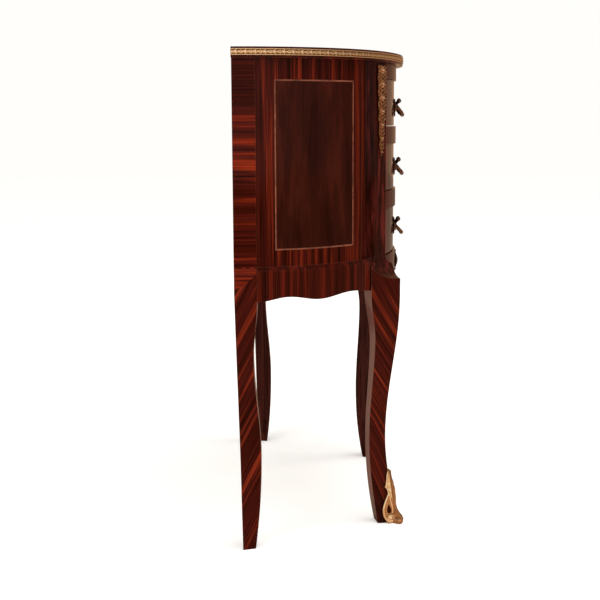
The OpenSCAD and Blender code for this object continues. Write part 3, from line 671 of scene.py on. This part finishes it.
@dataclass
class Plan:
    """The case's half-round plan, in metres, with y = back at the rear."""

    side_r: float = 262 * MM
    side_cx: float = 74 * MM
    front_r: float = 441.125 * MM
    front_cy: float = 163.125 * MM
    back: float = 147.5 * MM

    @property
    def join(self) -> float:
        """Angle from straight ahead at which the front arc runs into a side arc."""
        return atan2(self.side_cx, self.front_cy)

    def length(self, off: float) -> float:
        """Length of the outline at that distance outside the case."""
        side = (self.side_r + off) * (pi / 2 - self.join)
        return 2 * (side + (self.front_r + off) * self.join)

    def at(self, s: float, off: float) -> tuple[Vector, Vector]:
        """Finds a point on the outline.

        Args:
            s: distance along the outline from its left rear end.
            off: distance outside the case.

        Returns:
            The point on the floor and the outward direction.
        """
        side = (self.side_r + off) * (pi / 2 - self.join)
        front = 2 * (self.front_r + off) * self.join
        if s < side:
            a = pi / 2 - s / (self.side_r + off)
            centre, radius = Vector((-self.side_cx, self.back, 0)), self.side_r + off
        elif s < side + front:
            a = self.join - (s - side) / (self.front_r + off)
            centre, radius = Vector((0, self.back + self.front_cy, 0)), self.front_r + off
        else:
            a = -self.join - (s - side - front) / (self.side_r + off)
            centre, radius = Vector((self.side_cx, self.back, 0)), self.side_r + off
        out = Vector((-sin(a), -cos(a), 0))
        return centre + out * radius, out

    def front(self, x: float, off: float) -> tuple[Vector, Vector]:
        """Finds a point of the bowed front.

        Args:
            x: its place across the commode.
            off: distance outside the case.

        Returns:
            The point on the floor and the outward direction.
        """
        radius = self.front_r + off
        a = asin(x / radius)
        out = Vector((sin(a), -cos(a), 0))
        return Vector((0, self.back + self.front_cy, 0)) + out * radius, out


PLAN = Plan()


def bowed_sheet(part: "Pull | ApronMount", off: float, columns: int, rows: int) -> Mesh:
    """Shapes a cast plate with an outline of its own on the bowed front.

    Args:
        part: holds the plate's sizes, outline and relief.
        off: distance from the case's front to the sheet.
        columns: faces along it.
        rows: faces across it.

    Returns:
        The plate's mesh.
    """

    def place(u: float, v: float) -> tuple[Vector, Vector]:
        """Point and outward direction at u along the plate and v up it."""
        point, out = PLAN.front((2 * u - 1) * part.half, off)
        return point + Vector((0, 0, part.z + (2 * v - 1) * part.rim(2 * u - 1))), out

    mesh = cast_mesh()
    relief_sheet(mesh, columns, rows, place, lambda u, v: part.height(2 * u - 1, 2 * v - 1), part.wall)
    return mesh


@dataclass
class TopBand:
    """Pressed brass band round the top: flowers and leaves between two beads."""

    low: float = 787 * MM
    tall: float = 10.7 * MM
    ground: float = 11.35 * MM
    wall: float = 0.5 * MM
    bead: float = 1.6 * MM
    bead_step: float = 2.4 * MM
    proud: float = 1.1 * MM
    repeat: float = 15 * MM
    flower: float = 3.1 * MM
    petal: float = 0.7 * MM
    heart: float = 1.0 * MM
    swing: float = 1.9 * MM
    stem: float = 0.75 * MM
    leaf_at: float = 5.6 * MM
    leaf: float = 1.9 * MM
    face_mm: float = 0.8

    def height(self, s: float, v: float) -> float:
        """Finds the relief's height.

        Args:
            s: distance along the band.
            v: place across it, from 0 at its foot to 1.

        Returns:
            The height above the ground of the band.
        """
        z = (v - 0.5) * self.tall
        beads = max(dome(z - k * (self.tall - self.bead) / 2, self.bead / 2) for k in (-1, 1))
        beads *= 0.86 + 0.14 * cos(tau * s / self.bead_step)
        t = (s / self.repeat) % 1.0 - 0.5
        x = t * self.repeat
        r = hypot(x, z)
        petals = cos(5 * atan2(z, x))
        flower = dome(r, self.flower + self.petal * petals) * (0.72 + 0.28 * petals)
        heart = 0.35 * dome(r, self.heart)
        wave = self.swing * sin(tau * s / self.repeat + 1.1)
        stem = 0.62 * ridge(z - wave, self.stem)
        leaf_x = (abs(x) - self.leaf_at) / 1.5
        leaf = 0.75 * dome(hypot(leaf_x, z + 0.6 * wave), self.leaf)
        return self.proud * max(beads, flower + heart, stem, leaf)

    def build(self, metal: Material) -> None:
        """Builds the band and lays it round the top.

        Args:
            metal: its finish.
        """
        length = PLAN.length(self.ground)

        def place(u: float, v: float) -> tuple[Vector, Vector]:
            """Point and outward direction at u along the band and v up it."""
            point, out = PLAN.at(u * length, self.ground)
            return point + Vector((0, 0, self.low + v * self.tall)), out

        mesh = cast_mesh()
        relief_sheet(mesh, int(length / (self.face_mm * MM)), 14, place,
                     lambda u, v: self.height(u * length, v), self.wall)
        finish_piece(mesh, "pressed_band", "case", metal, ("top_band",))


@dataclass
class Chute:
    """Cast husk garland down the canted face of a front post."""

    centre: Vector = field(default_factory=lambda: Vector((-193.55, -91.24, 0)) * MM)
    turn: float = radians(34)
    top: float = 780.5 * MM
    long: float = 156 * MM
    half: float = 12.8 * MM
    proud: float = 5.6 * MM
    ground: float = 0.9 * MM
    wall: float = 0.6 * MM
    seat: float = 0.65 * MM
    tiers: int = 7
    lobe: float = 1.3 * MM
    husk: float = 7.4 * MM
    petal: float = 1.2 * MM
    bud: float = 2.6 * MM
    leaf_drop: float = 5.5 * MM
    leaf: float = 1.5 * MM
    vein_step: float = 2.3 * MM
    rib_step: float = 5.2 * MM
    bead_step: float = 4.3 * MM
    rim: float = 0.8 * MM

    def reach(self, t: float) -> float:
        """Finds the half width.

        Args:
            t: place down the chute, from 0 at the top to 1 at the point.

        Returns:
            The distance from the middle line to the edge.
        """
        body = self.half * (1 - 0.74 * t ** 1.7) + self.lobe * cos(tau * self.tiers * t)
        return max(0.4 * MM, body * min(1.0, (1 - t) / 0.07) ** 0.6)

    def height(self, side: float, t: float) -> float:
        """Finds the relief's height.

        Args:
            side: place across, from -1 to 1.
            t: place down the chute, from 0 at the top to 1 at the point.

        Returns:
            The height above the post.
        """
        half = self.reach(t)
        x, span = side * half, abs(side * half)
        tier = self.tiers * t
        z = (tier - min(floor(tier), self.tiers - 1) - 0.5) * self.long / self.tiers
        scale = half / self.half
        r = hypot(x, z)
        petals = cos(6 * atan2(z, x))
        husk = dome(r, self.husk * scale + self.petal * petals) * (0.62 + 0.2 * petals)
        bud = 0.3 * dome(r, self.bud * scale)
        leaf = 0.55 * ridge(z + self.leaf_drop - 0.8 * span, self.leaf) * min(1.0, span / (3 * MM))
        vein = 0.2 + 0.12 * cos(tau * (span + 0.6 * z) / self.vein_step)
        rim = 0.4 * ridge((1 - abs(side)) * half - 1.0 * MM, self.rim)
        beads = 0.65 + 0.35 * cos(tau * x / self.bead_step)
        ribs = 0.4 * beads * cos(tau * (z + 0.5 * span) / self.rib_step)
        raised = max(0.0, max(husk + bud, leaf, rim, vein) + ribs)
        edge = min(1.0, (1 - abs(side)) * half / (1.0 * MM), (1 - t) * 14, t * 40)
        tapered = (0.6 + 0.4 * scale) * (self.proud - self.ground)
        return (self.ground + tapered * raised) * max(0.12, edge)

    def build(self, side: str, metal: Material) -> None:
        """Builds one chute.

        Args:
            side: "left" or "right".
            metal: its finish.
        """
        flip = SIDES[side]
        out = Vector((-sin(self.turn) * flip, -cos(self.turn), 0))
        along = Vector((cos(self.turn), -sin(self.turn) * flip, 0))
        foot = Vector((self.centre.x * flip, self.centre.y, 0)) + out * self.seat

        def place(u: float, v: float) -> tuple[Vector, Vector]:
            """Point and outward direction at u across the chute and v up it."""
            across = (2 * u - 1) * self.reach(1 - v)
            return foot + along * across + Vector((0, 0, self.top - self.long * (1 - v))), out

        mesh = cast_mesh()
        relief_sheet(mesh, 44, 230, place, lambda u, v: self.height(2 * u - 1, 1 - v), self.wall)
        finish_piece(mesh, f"husk_chute_{side}", "case", metal, (f"chute_{side}",))


@dataclass
class Pull:
    """Cast drawer pull: a shell plate with a curled crest, two rosettes and a swept grip."""

    drawer: str
    z: float
    half: float = 45 * MM
    tall: float = 32 * MM
    bolt: float = 34.2 * MM
    face_off: float = -3.5 * MM
    reach: float = 20.4 * MM
    grip_r: float = 4 * MM
    start: float = 4.2 * MM
    lean: float = radians(50)
    ground: float = 1.2 * MM
    proud: float = 2.2 * MM
    seat: float = 0.55 * MM
    wall: float = 0.5 * MM
    ear: float = 9.5 * MM
    lobe: float = 0.7 * MM
    shell: float = 15 * MM
    scroll: float = 1.8 * MM
    swing: float = 3.5 * MM
    swing_step: float = 4.5 * MM
    crest_axis: tuple[float, float] = (14 * MM, 2.5 * MM)
    crest_r: float = 11.4 * MM
    crest_half: float = 12.5 * MM
    crest_wall: float = 2.2 * MM
    dip: float = 2.6 * MM
    curl_half: float = 12.2 * MM
    grip_up: float = 2 * MM
    rosette_seat: float = 0.6 * MM
    rosette: Points = (
        (0.01, 0), (9, 0), (9.4, 0.9), (9, 1.9), (7.6, 2), (7.2, 1.6), (6.6, 2.6),
        (5.4, 4.6), (4.2, 5.2), (3.8, 4.8), (3, 6.4), (1.6, 7.2), (0.01, 7.4))

    @property
    def face_y(self) -> float:
        """Depth of the drawer front in its middle."""
        return PLAN.front(0, self.face_off)[0].y

    def rim(self, t: float) -> float:
        """Finds the plate's half height.

        Args:
            t: place along it, from -1 at its left end to 1.

        Returns:
            The distance from the middle line to the edge.
        """
        middle = 0.5 * self.tall * (1 - 0.45 * abs(t) ** 1.2) if abs(t) < 0.56 else 0.0
        neck = 0.12 * self.tall * ridge(abs(t) - 0.52, 0.12)
        ear = self.ear * dome(abs(t) - 0.76, 0.24) if abs(t) > 0.52 else 0.0
        return max(1.2 * MM, max(middle - neck, ear) + self.lobe * cos(t * 34))

    def height(self, t: float, v: float) -> float:
        """Finds the height of the plate's relief.

        Args:
            t: place along the plate, from -1 at its left end to 1.
            v: place across it, from -1 at its lower edge to 1.

        Returns:
            The height above the drawer front.
        """
        x = t * self.half
        z = v * self.rim(t)
        ribs = 0.5 + 0.5 * cos(atan2(z + 0.3 * self.tall, x) * 16)
        shell = ridge(x, self.shell) * (0.45 + 0.55 * ribs)
        scroll = 0.6 * ridge(z - self.swing * sin(x / self.swing_step), self.scroll)
        border = 0.55 * ridge(1 - abs(v), 0.16)
        edge = min(1.0, (1 - abs(v)) * 9, (1 - abs(t)) * 30)
        return (self.ground + self.proud * max(shell, scroll, border)) * max(0.25, edge)

    def crest_at(self, u: float, v: float) -> tuple[Vector, Vector]:
        """Finds a point on the crest's curled leaf.

        Args:
            u: place across it, from 0 to 1.
            v: place round its curl, from 0 at the plate to 1.

        Returns:
            The point and the outward direction.
        """
        t = 2 * u - 1
        turn = radians(-8 + 98 * v)
        width = self.crest_half * (0.55 + 0.5 * sin(pi * min(1.0, 0.18 + 0.72 * v)))
        forward, lift = self.crest_axis
        out = Vector((0, cos(turn), sin(turn)))
        middle = Vector((t * width, self.face_y - forward, self.z + lift))
        return middle + out * (self.crest_r - self.dip * t * t), out

    def crest(self) -> Mesh:
        """Shapes the ribbed leaf that rises from the plate and rolls forward.

        Returns:
            The leaf's mesh.
        """

        def high(u: float, v: float) -> float:
            """Height of the ribs at u across the leaf and v round its curl."""
            ribs = 0.5 + 0.5 * cos((2 * u - 1) * 16)
            return 0.3 * MM + 0.8 * MM * ribs * min(1.0, v * 6, (1 - v) * 8)

        mesh = cast_mesh()
        relief_sheet(mesh, 28, 22, self.crest_at, high, self.crest_wall)
        # The leaf's rolled edge is notched, droops at its ends and thins out there.
        path, radii = [], []
        for i in range(65):
            t = i / 32 - 1
            path.append(Vector((t * self.curl_half, self.face_y - (10.2 - 0.6 * t * t) * MM,
                                self.z + (13.2 - 4.0 * t * t) * MM)))
            radii.append((3.1 + 0.65 * cos(t * 17) - 0.9 * t * t) * min(1.0, (1.04 - abs(t)) * 5) * MM)
        sweep(mesh, path, radii, 14)
        return mesh

    def grip(self) -> Mesh:
        """Shapes the grip that sweeps down and out between the rosettes, which are turned.

        Returns:
            The mesh of the grip and both rosettes.
        """
        mesh = cast_mesh()
        sag = (self.reach - self.grip_r - self.start) / cos(self.lean)
        radius = (self.bolt ** 2 + sag ** 2) / (2 * sag)
        half = asin(self.bolt / radius)
        path, radii = [], []
        for i in range(49):
            t = i / 24 - 1
            drop = sag - radius * (1 - cos(t * half))
            path.append(Vector((
                radius * sin(t * half), self.face_y - self.start - drop * cos(self.lean),
                self.z + self.grip_up - drop * sin(self.lean))))
            knuckle = 0.2 * ridge(abs(t) - 0.5, 0.05) + 0.12 * ridge(t, 0.2)
            radii.append(self.grip_r * (0.8 - 0.12 * abs(t) + knuckle + 0.05 * cos(t * 70)))
        sweep(mesh, path, radii, 12)
        for x in (-self.bolt, self.bolt):
            point, out = PLAN.front(x, self.face_off + self.rosette_seat)
            boss(mesh, point + Vector((0, 0, self.z)), out, self.rosette)
        return mesh

    def build(self, metal: Material) -> None:
        """Builds the pull on its drawer.

        Args:
            metal: its finish.
        """
        body = f"{self.drawer}_drawer"
        plate = bowed_sheet(self, self.face_off + self.seat, 110, 26)
        finish_piece(plate, f"{self.drawer}_pull_plate", body, metal, (f"{self.drawer}_pull",))
        finish_piece(self.crest(), f"{self.drawer}_pull_crest", body, metal)
        finish_piece(self.grip(), f"{self.drawer}_pull_grip", body, metal)


@dataclass
class ApronMount:
    """Cast cartouche on the middle of the front apron, with a spike up and down."""

    z: float = 433.3 * MM
    half: float = 30 * MM
    tall: float = 21 * MM
    body: float = 12.6 * MM
    lobe: float = 1.2 * MM
    ground: float = 1.2 * MM
    proud: float = 5.2 * MM
    flower: float = 9 * MM
    petal: float = 1.6 * MM
    bud: float = 6.5 * MM
    bud_at: float = 21 * MM
    seat: float = 0.45 * MM
    wall: float = 0.4 * MM
    swirl: float = 2.2 * MM

    def rim(self, t: float) -> float:
        """Finds the mount's half height.

        Args:
            t: place along it, from -1 at its left end to 1.

        Returns:
            The distance from the middle line to the edge.
        """
        spike = self.tall * max(0.0, 1 - abs(t) / 0.16)
        body = self.body * (1 - 0.5 * abs(t) ** 1.3) + self.lobe * cos(t * 22)
        close = min(1.0, (1 - abs(t)) / 0.16) ** 0.5
        return max(spike, body * close, 0.8 * MM)

    def height(self, t: float, v: float) -> float:
        """Finds the relief's height.

        Args:
            t: place along the mount, from -1 at its left end to 1.
            v: place across it, from -1 at its lower edge to 1.

        Returns:
            The height above the apron.
        """
        x = t * self.half
        z = v * self.rim(t)
        turn = atan2(z, x)
        r = hypot(x, z)
        petals = cos(8 * turn)
        flower = dome(r, self.flower + self.petal * petals) * (0.7 + 0.3 * petals)
        bud = 0.7 * dome(hypot(abs(x) - self.bud_at, z + 1 * MM), self.bud)
        ribs = 0.35 + 0.14 * cos(turn * 14 + r / self.swirl)
        edge = min(1.0, (1 - abs(v)) * 7, (1 - abs(t)) * 22)
        return (self.ground + self.proud * max(flower, bud, ribs)) * max(0.18, edge)

    def build(self, metal: Material) -> None:
        """Builds the mount.

        Args:
            metal: its finish.
        """
        finish_piece(bowed_sheet(self, self.seat, 96, 44), "apron_cartouche", "case", metal,
                     ("apron_mount",))


def smooth(points: Points, steps: int) -> Points:
    """Rounds a chain of points with a Catmull-Rom curve.

    Args:
        points: the chain.
        steps: pieces between two neighbours.

    Returns:
        The rounded chain.
    """
    ends = [points[0], *points, points[-1]]
    curve = []
    for chain in zip(ends, ends[1:], ends[2:], ends[3:]):
        for i in range(steps):
            t = i / steps
            curve.append(tuple(
                0.5 * (2 * b + (c - a) * t + (2 * a - 5 * b + 4 * c - d) * t ** 2
                       + (3 * b - a - 3 * c + d) * t ** 3)
                for a, b, c, d in zip(*chain)))
    return [*curve, tuple(points[-1])]


@dataclass
class SabotChasing:
    """Scrolls, leaves and scroll eyes on both faces of a pierced sabot, over the CAD shell.

    All sizes are in millimetres. A bar's points are reach back from the arris, height
    above the floor and the bar's radius.
    """

    corner: tuple[float, float] = (-203.6, 253.66)
    ankle: float = 150.0
    foot_out: float = 8.5
    ankle_in: float = 3.7
    shell: float = 4.2
    sunk: float = 0.4
    bar_off: float = 0.6
    wall: float = 0.5
    leaf_low: float = 44.0
    leaf_high: float = 92.0
    eye: tuple[float, float] = (5.4, 9.6)
    eye_profile: Points = (
        (0.01, 0), (6.2, 0), (6.8, 1.6), (6.2, 3.2), (5.0, 3.6), (4.2, 2.6), (3.2, 3.4),
        (1.8, 4.6), (0.01, 5.0))
    scroll: Points = (
        (1.5, 91, 0.5), (4.2, 82, 1.0), (6.0, 73, 1.2), (7.9, 66, 1.3), (7.2, 60, 1.4), (5.4, 55, 1.5),
        (7.4, 49, 1.6), (11.2, 42, 1.8), (15.0, 34, 1.9), (17.4, 26, 2.0), (17.5, 18, 2.1), (15.6, 11, 2.2),
        (11.4, 5.0, 2.3), (6.0, 2.8, 2.3), (1.2, 4.4, 2.2), (-1.0, 9.0, 2.0), (0.6, 13.4, 1.8),
        (4.0, 14.6, 1.5), (5.6, 12.0, 1.2), (4.2, 9.6, 0.9),
    )
    inner: Points = (
        (4.8, 55, 0.9), (4.4, 47, 1.3), (4.0, 39, 1.5), (2.6, 31, 1.6), (1.6, 24, 1.6), (2.6, 17.5, 1.4),
    )

    def outer(self, z: float) -> float:
        """Finds how far the leg's outer faces stand in from the corner.

        Args:
            z: height.

        Returns:
            The distance, less than 0 where the foot swings out.
        """
        t = (self.ankle - z) / self.ankle
        swing = (self.foot_out + self.ankle_in) * (1 - cos(pi * t)) / 2
        return self.ankle_in - swing

    def at(self, reach: float, z: float, off: float, on_front: bool, flip: int) -> Vector:
        """Finds a point over one face of the foot.

        Args:
            reach: distance back from the arris.
            z: height.
            off: distance out of the wood.
            on_front: whether the point is on the front face or on the side face.
            flip: 1 for the left foot and -1 for the right one.

        Returns:
            The point, in metres.
        """
        along, out = self.outer(z) + reach, self.outer(z) - off
        x, y = (along, out) if on_front else (out, along)
        across = self.corner[0] + x * cos(LEG_TURN) - y * sin(LEG_TURN)
        deep = PLAN.back / MM - self.corner[1] + x * sin(LEG_TURN) + y * cos(LEG_TURN)
        return Vector((flip * across, deep, z)) * MM

    def outward(self, z: float, on_front: bool, flip: int) -> Vector:
        """Finds the direction out of one face.

        Args:
            z: height.
            on_front: whether it is the front face or the side face.
            flip: 1 for the left foot and -1 for the right one.

        Returns:
            The unit vector.
        """
        near = self.at(0, z, self.shell, on_front, flip)
        return (self.at(0, z, self.shell + 1, on_front, flip) - near).normalized()

    def leaf(self, mesh: Mesh, on_front: bool, flip: int) -> None:
        """Adds the acanthus leaf that climbs one face.

        Args:
            mesh: the bmesh that gets the leaf.
            on_front: whether it is on the front face.
            flip: 1 for the left foot and -1 for the right one.
        """

        def edge(t: float) -> float:
            """Width of the leaf at t, from 0 at its foot to 1 at its tip."""
            swell = 8.4 * exp(-(((t - 0.44) / 0.30) ** 2)) + 2.6 * (1 - t)
            return max(0.5, (swell + 0.7 * cos(t * 30)) * min(1.0, (1 - t) * 6))

        def place(u: float, v: float) -> tuple[Vector, Vector]:
            """Finds a point on the leaf.

            Args:
                u: place across it, from 0 at the arris to 1.
                v: place up it, from 0 to 1.

            Returns:
                The point and the outward direction.
            """
            z = self.leaf_low + v * (self.leaf_high - self.leaf_low)
            spot = self.at(u * edge(v), z, self.shell - self.sunk, on_front, flip)
            return spot, self.outward(z, on_front, flip)

        def rise(u: float, v: float) -> float:
            """Height of the veins at u across the leaf and v up it."""
            veins = 0.5 + 0.5 * cos(30 * v - 5.5 * u)
            return (0.5 + 1.2 * veins * u * (1.2 - u) * 2 + 0.7 * (1 - u)) * MM

        relief_sheet(mesh, 14, 64, place, rise, self.wall * MM)

    def build(self, side: str, metal: Material) -> None:
        """Builds the chasing of one sabot.

        Args:
            side: "left" or "right".
            metal: its finish.
        """
        flip = SIDES[side]
        mesh = cast_mesh()
        for on_front in (False, True):
            self.leaf(mesh, on_front, flip)
            middle = self.at(*self.eye, self.shell - self.sunk, on_front, flip)
            boss(mesh, middle, self.outward(self.eye[1], on_front, flip), self.eye_profile)
            for bar in (self.scroll, self.inner):
                curve = smooth(bar, 6)
                off = self.shell + self.bar_off
                sweep(mesh, [self.at(reach, z, off, on_front, flip) for reach, z, _ in curve],
                      [radius * MM for _, _, radius in curve], 10)
        finish_piece(mesh, f"sabot_chasing_{side}", "case", metal)


@dataclass
class Woodwork:
    """The commode's wooden pieces, which keep their CAD meshes and get their finishes."""

    across: tuple[str, ...] = ("back_panel", "bottom_board", "rear_top_rail", "rear_bottom_rail",
                               "upper_dust_board", "lower_dust_board", "drawer_stops", "glue_blocks")
    deep: tuple[str, ...] = ("cheek", "upper_runners", "middle_runners", "lower_guides", "top_kickers")

    def legs(self) -> dict[str, Material]:
        """Builds the finishes of the legs, with their posts and stiles.

        Returns:
            The material for each leg's name.
        """
        post = RosewoodVeneer("post", dark="230701", middle="360d07", bright="581c17", stripe_mm=10.0,
                              run_mm=90.0, seed=2.0)
        stile = RosewoodVeneer("stile", Figure.LEVEL, dark="350b03", middle="451109", bright="86280f",
                               stripe_mm=27.0, run_mm=500.0, seed=5.6)
        inner = RosewoodVeneer("leg_inside", dark="2a100d", middle="3b1914", bright="4b211b",
                               stripe_mm=14.0, run_mm=400.0, seed=6.0)
        left, right, rear = (
            RosewoodVeneer(figure.value, figure, dark="300b04", middle="40110a", bright="782713",
                           run_mm=460.0)
            for figure in (Figure.FALLING_LEFT, Figure.FALLING_RIGHT, Figure.RISING))
        return {
            "front_leg_left": PostAndLeg("post_and_leg_left", post, left, inner).build(),
            "front_leg_right": PostAndLeg("post_and_leg_right", post, right, inner).build(),
            "rear_leg": PostAndLeg("stile_and_leg", stile, rear, inner, film=0.4, grime=0.1).build(),
        }

    def case(self) -> dict[str, Material]:
        """Builds the finishes of the case's and the drawers' veneered faces.

        Returns:
            The material for each node's name or the start of it.
        """
        border = RosewoodVeneer("border", dark="260802", middle="421109", bright="712310",
                                run_mm=420.0, seed=3.3)
        centre = RosewoodVeneer("centre", dark="250a05", middle="2e0f08", bright="3a140b",
                                stripe_mm=34.0, grain_mm=3.0, grain=0.25, run_mm=160.0, seed=4.0)
        aprons = RosewoodVeneer("apron_rosewood", dark="2d0a03", middle="390f07", bright="58180d",
                                stripe_mm=12.0, run_mm=500.0, seed=7.0).build()
        rails = RosewoodVeneer("crossbanded_rosewood", dark="350d06", middle="40120b", bright="5a1c11",
                               run_mm=300.0, seed=13.0).build()
        fronts = RosewoodVeneer("front_rosewood", middle="380f08", stripe_mm=13.0, film=1.0,
                                seed=9.0).build()
        named = {
            "side_panel": FramedPanel("framed_rosewood", border, centre).build(),
            "side_string": BareWood("dyed_string", pale="884427", dark="5a2814", ring_mm=12.0).build(),
            "side_apron": aprons,
            "front_apron": aprons,
            "top_board": RosewoodVeneer("top_rosewood", Figure.LENGTHWISE, bright="551a10",
                                        stripe_mm=16.0, run_mm=400.0, seed=11.0).build(),
        }
        named.update({name: rails for name in ("top_rail", "upper_rail", "lower_rail")})
        named.update({f"{level}_drawer_front": fronts for level in DRAWERS})
        return named

    def inside(self) -> dict[str, Material]:
        """Builds the finishes of the bare wood at the back and inside.

        Returns:
            The material for each node's name or the start of it.
        """
        drawer = {"pale": "c39d70", "dark": "a07a4e", "ring_mm": 3.0}
        lining = BareWood("bare_drawer_wood", **drawer).build()
        sides = BareWood("bare_drawer_side_wood", front_to_back=True, **drawer).build()
        boards = BareWood("bare_carcass_wood").build()
        runners = BareWood("bare_runner_wood", front_to_back=True).build()
        named = {name: boards for name in self.across} | {name: runners for name in self.deep}
        for level in DRAWERS:
            named.update({f"{level}_drawer_{part}": lining for part in ("back", "bottom")})
            named[f"{level}_drawer_side"] = sides
        return named

    def dress(self) -> None:
        """Gives each wooden CAD node its finish."""
        named = self.legs() | self.case() | self.inside()
        starts = sorted(named, key=len, reverse=True)
        for name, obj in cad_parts.items():
            material = next((named[start] for start in starts if name.startswith(start)), None)
            if material:
                paint(obj, material)
                LOG.info("node %s: %s", name, material.name)


@dataclass
class Metalwork:
    """The commode's brass and steel pieces, with the height of each drawer's pull."""

    pulls: dict[str, float] = field(default_factory=lambda: {
        "upper": 711 * MM, "middle": 605.5 * MM, "lower": 497 * MM})

    def build(self) -> None:
        """Builds the cast pieces and dresses the metal CAD nodes."""
        pressed = CastBrass("pressed_gilt_brass", "6a3a18", "e9bb86", "fff0d4", 0.3).build()
        chased = CastBrass("chased_gilt_brass", "351709", "b47c54", "f6caa4", 0.36).build()
        burnished = CastBrass("burnished_gilt_brass", "4c2812", "b07c50", "e4ba8c", 0.28, False).build()
        leafy = CastBrass("chased_sabot_brass", "4a240e", "cf9a62", "ffe2b6", 0.26).build()
        dark = CastBrass("darkened_brass", "22110b", "452a20", "785444", 0.42).build()
        steel = TurnedSteel().build()
        TopBand().build(pressed)
        for side in SIDES:
            Chute().build(side, chased)
            paint(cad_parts[f"sabot_{side}"], burnished)
            SabotChasing().build(side, leafy)
        for drawer, z in self.pulls.items():
            Pull(drawer, z).build(dark)
        ApronMount().build(dark)
        for name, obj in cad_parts.items():
            if name.endswith(("_screws", "_bolts")):
                paint(obj, steel)
                LOG.info("node %s: %s", name, steel.name)


@dataclass
class Studio:
    """Pale floor, plain soft light and the camera at the photograph's viewing angle.

    Each lamp has its name, place, size and watts.
    """

    eye: Vector = field(default_factory=lambda: Vector((-2.1527, 0.0419, 0.6874)))
    right: Vector = field(default_factory=lambda: Vector((-0.00007, -0.99999, -0.00422)))
    up: Vector = field(default_factory=lambda: Vector((0.15131, -0.00418, 0.98848)))
    aim: Vector = field(default_factory=lambda: Vector((0, 0, 0.45)))
    lens_mm: float = 70.07
    film_mm: float = 36.0
    sight: float = 50.0
    floor_half: float = 12.0
    floor_colour: str = "f2f0ec"
    mirrored_floor: str = "cfb196"
    room: str = "fffefb"
    far_wall: str = "f2c39c"
    fill: float = 0.55
    lamps: tuple[tuple[str, tuple[float, float, float], float, float], ...] = (
        ("top_softbox", (-0.6, -0.4, 3.0), 2.4, 55.0),
        ("left_softbox", (-2.6, 1.9, 1.9), 1.6, 30.0),
        ("front_softbox", (0.4, -2.6, 2.7), 1.5, 24.0),
    )

    def camera(self) -> None:
        """Sets up the camera."""
        data = bpy.data.cameras.new("camera")
        data.lens = self.lens_mm
        data.sensor_width = self.film_mm
        data.shift_x = -0.0008
        data.clip_end = self.sight
        obj = new_object("camera", data)
        back = self.right.cross(self.up)
        turn = Matrix((self.right, self.up, back)).transposed().to_4x4()
        obj.matrix_world = Matrix.Translation(self.eye) @ turn
        bpy.context.scene.camera = obj

    def world(self) -> None:
        """Makes the world white to the eye and a plain studio to everything else.

        In gloss it is pale behind the camera, dim at the sides, and has a warm wall beyond
        the commode.
        """
        world = bpy.data.worlds.new("studio")
        bpy.context.scene.world = world
        world.use_nodes = True
        world.node_tree.nodes.clear()
        add = partial(add_node, world.node_tree)
        rays = add("LightPath").outputs
        ahead = add("SeparateXYZ", {0: add("TexCoord").outputs["Generated"]}).outputs["X"]
        near, wall, window = (add("MapRange", (ahead, *span)) for span in (
            (-1.0, 0.0, 0.95, 0.2), (0.2, 1.0, 0.0, 0.5), (-1.0, -0.8, 0.6, 0.0)))
        walls = add("Math", (near, wall), operation="ADD")
        mirrored = add("Math", (walls, window), operation="ADD")
        glossy = add("Mix", {0: rays["Is Glossy Ray"], 2: self.fill, 3: mirrored}, data_type="FLOAT")
        seen = add("Mix", {0: rays["Is Camera Ray"], 2: glossy, 3: 1.0}, data_type="FLOAT")
        warm = add("Math", (wall, rays["Is Glossy Ray"]), operation="MULTIPLY")
        share = add("MapRange", (warm, 0.0, 0.3))
        tint = add("Mix", {0: share, 6: linear(self.room), 7: linear(self.far_wall)}, data_type="RGBA")
        shader = add("Background", {"Color": tint, "Strength": seen})
        add("OutputWorld", {"Surface": shader})

    def floor(self) -> None:
        """Lays the pale floor, a little less pale near the commode so that its shadow shows."""
        mesh = bmesh.new()
        bmesh.ops.create_grid(mesh, x_segments=1, y_segments=1, size=self.floor_half)
        data = bpy.data.meshes.new("floor")
        mesh.to_mesh(data)
        mesh.free()
        obj = new_object("floor", data)
        material, add = new_material("pale_floor")
        rays = add("LightPath").outputs
        away = add("VectorMath", {0: add("TexCoord").outputs["Object"]}, operation="LENGTH")
        pale = add("MapRange", (away, 0.6, 2.5, 0.3, 0.52))
        painted = add("BsdfDiffuse", {"Color": linear(self.floor_colour)})
        mirrored = add("BsdfDiffuse", {"Color": linear(self.mirrored_floor)})
        lit, filled = (
            add("AddShader", (painted, add("Emission", {"Color": (1, 1, 1, 1), "Strength": strength})))
            for strength in (pale, self.fill))
        bounced = add("MixShader", (rays["Is Glossy Ray"], filled, mirrored))
        shown = add("MixShader", (rays["Is Camera Ray"], bounced, lit))
        add("OutputMaterial", {"Surface": shown})
        paint(obj, material)

    def hang_lamps(self) -> None:
        """Hangs the square lamps, which face the commode and don't show in its polish."""
        for name, at, size, watts in self.lamps:
            data = bpy.data.lights.new(name, "AREA")
            data.size = size
            data.energy = watts
            obj = new_object(name, data)
            place = Vector(at)
            turn = (place - self.aim).to_track_quat("Z", "Y").to_matrix().to_4x4()
            obj.matrix_world = Matrix.Translation(place) @ turn
            obj.visible_camera = False
            obj.visible_glossy = False

    def build(self) -> None:
        """Builds the whole studio."""
        self.camera()
        self.world()
        self.floor()
        self.hang_lamps()
        bpy.context.scene.view_settings.view_transform = "Standard"
        LOG.info("studio is set up")


def main() -> None:
    """Builds the commode's pieces in order, then the studio."""
    Woodwork().dress()
    Metalwork().build()
    Studio().build()


if __name__ == "__main__":
    main()
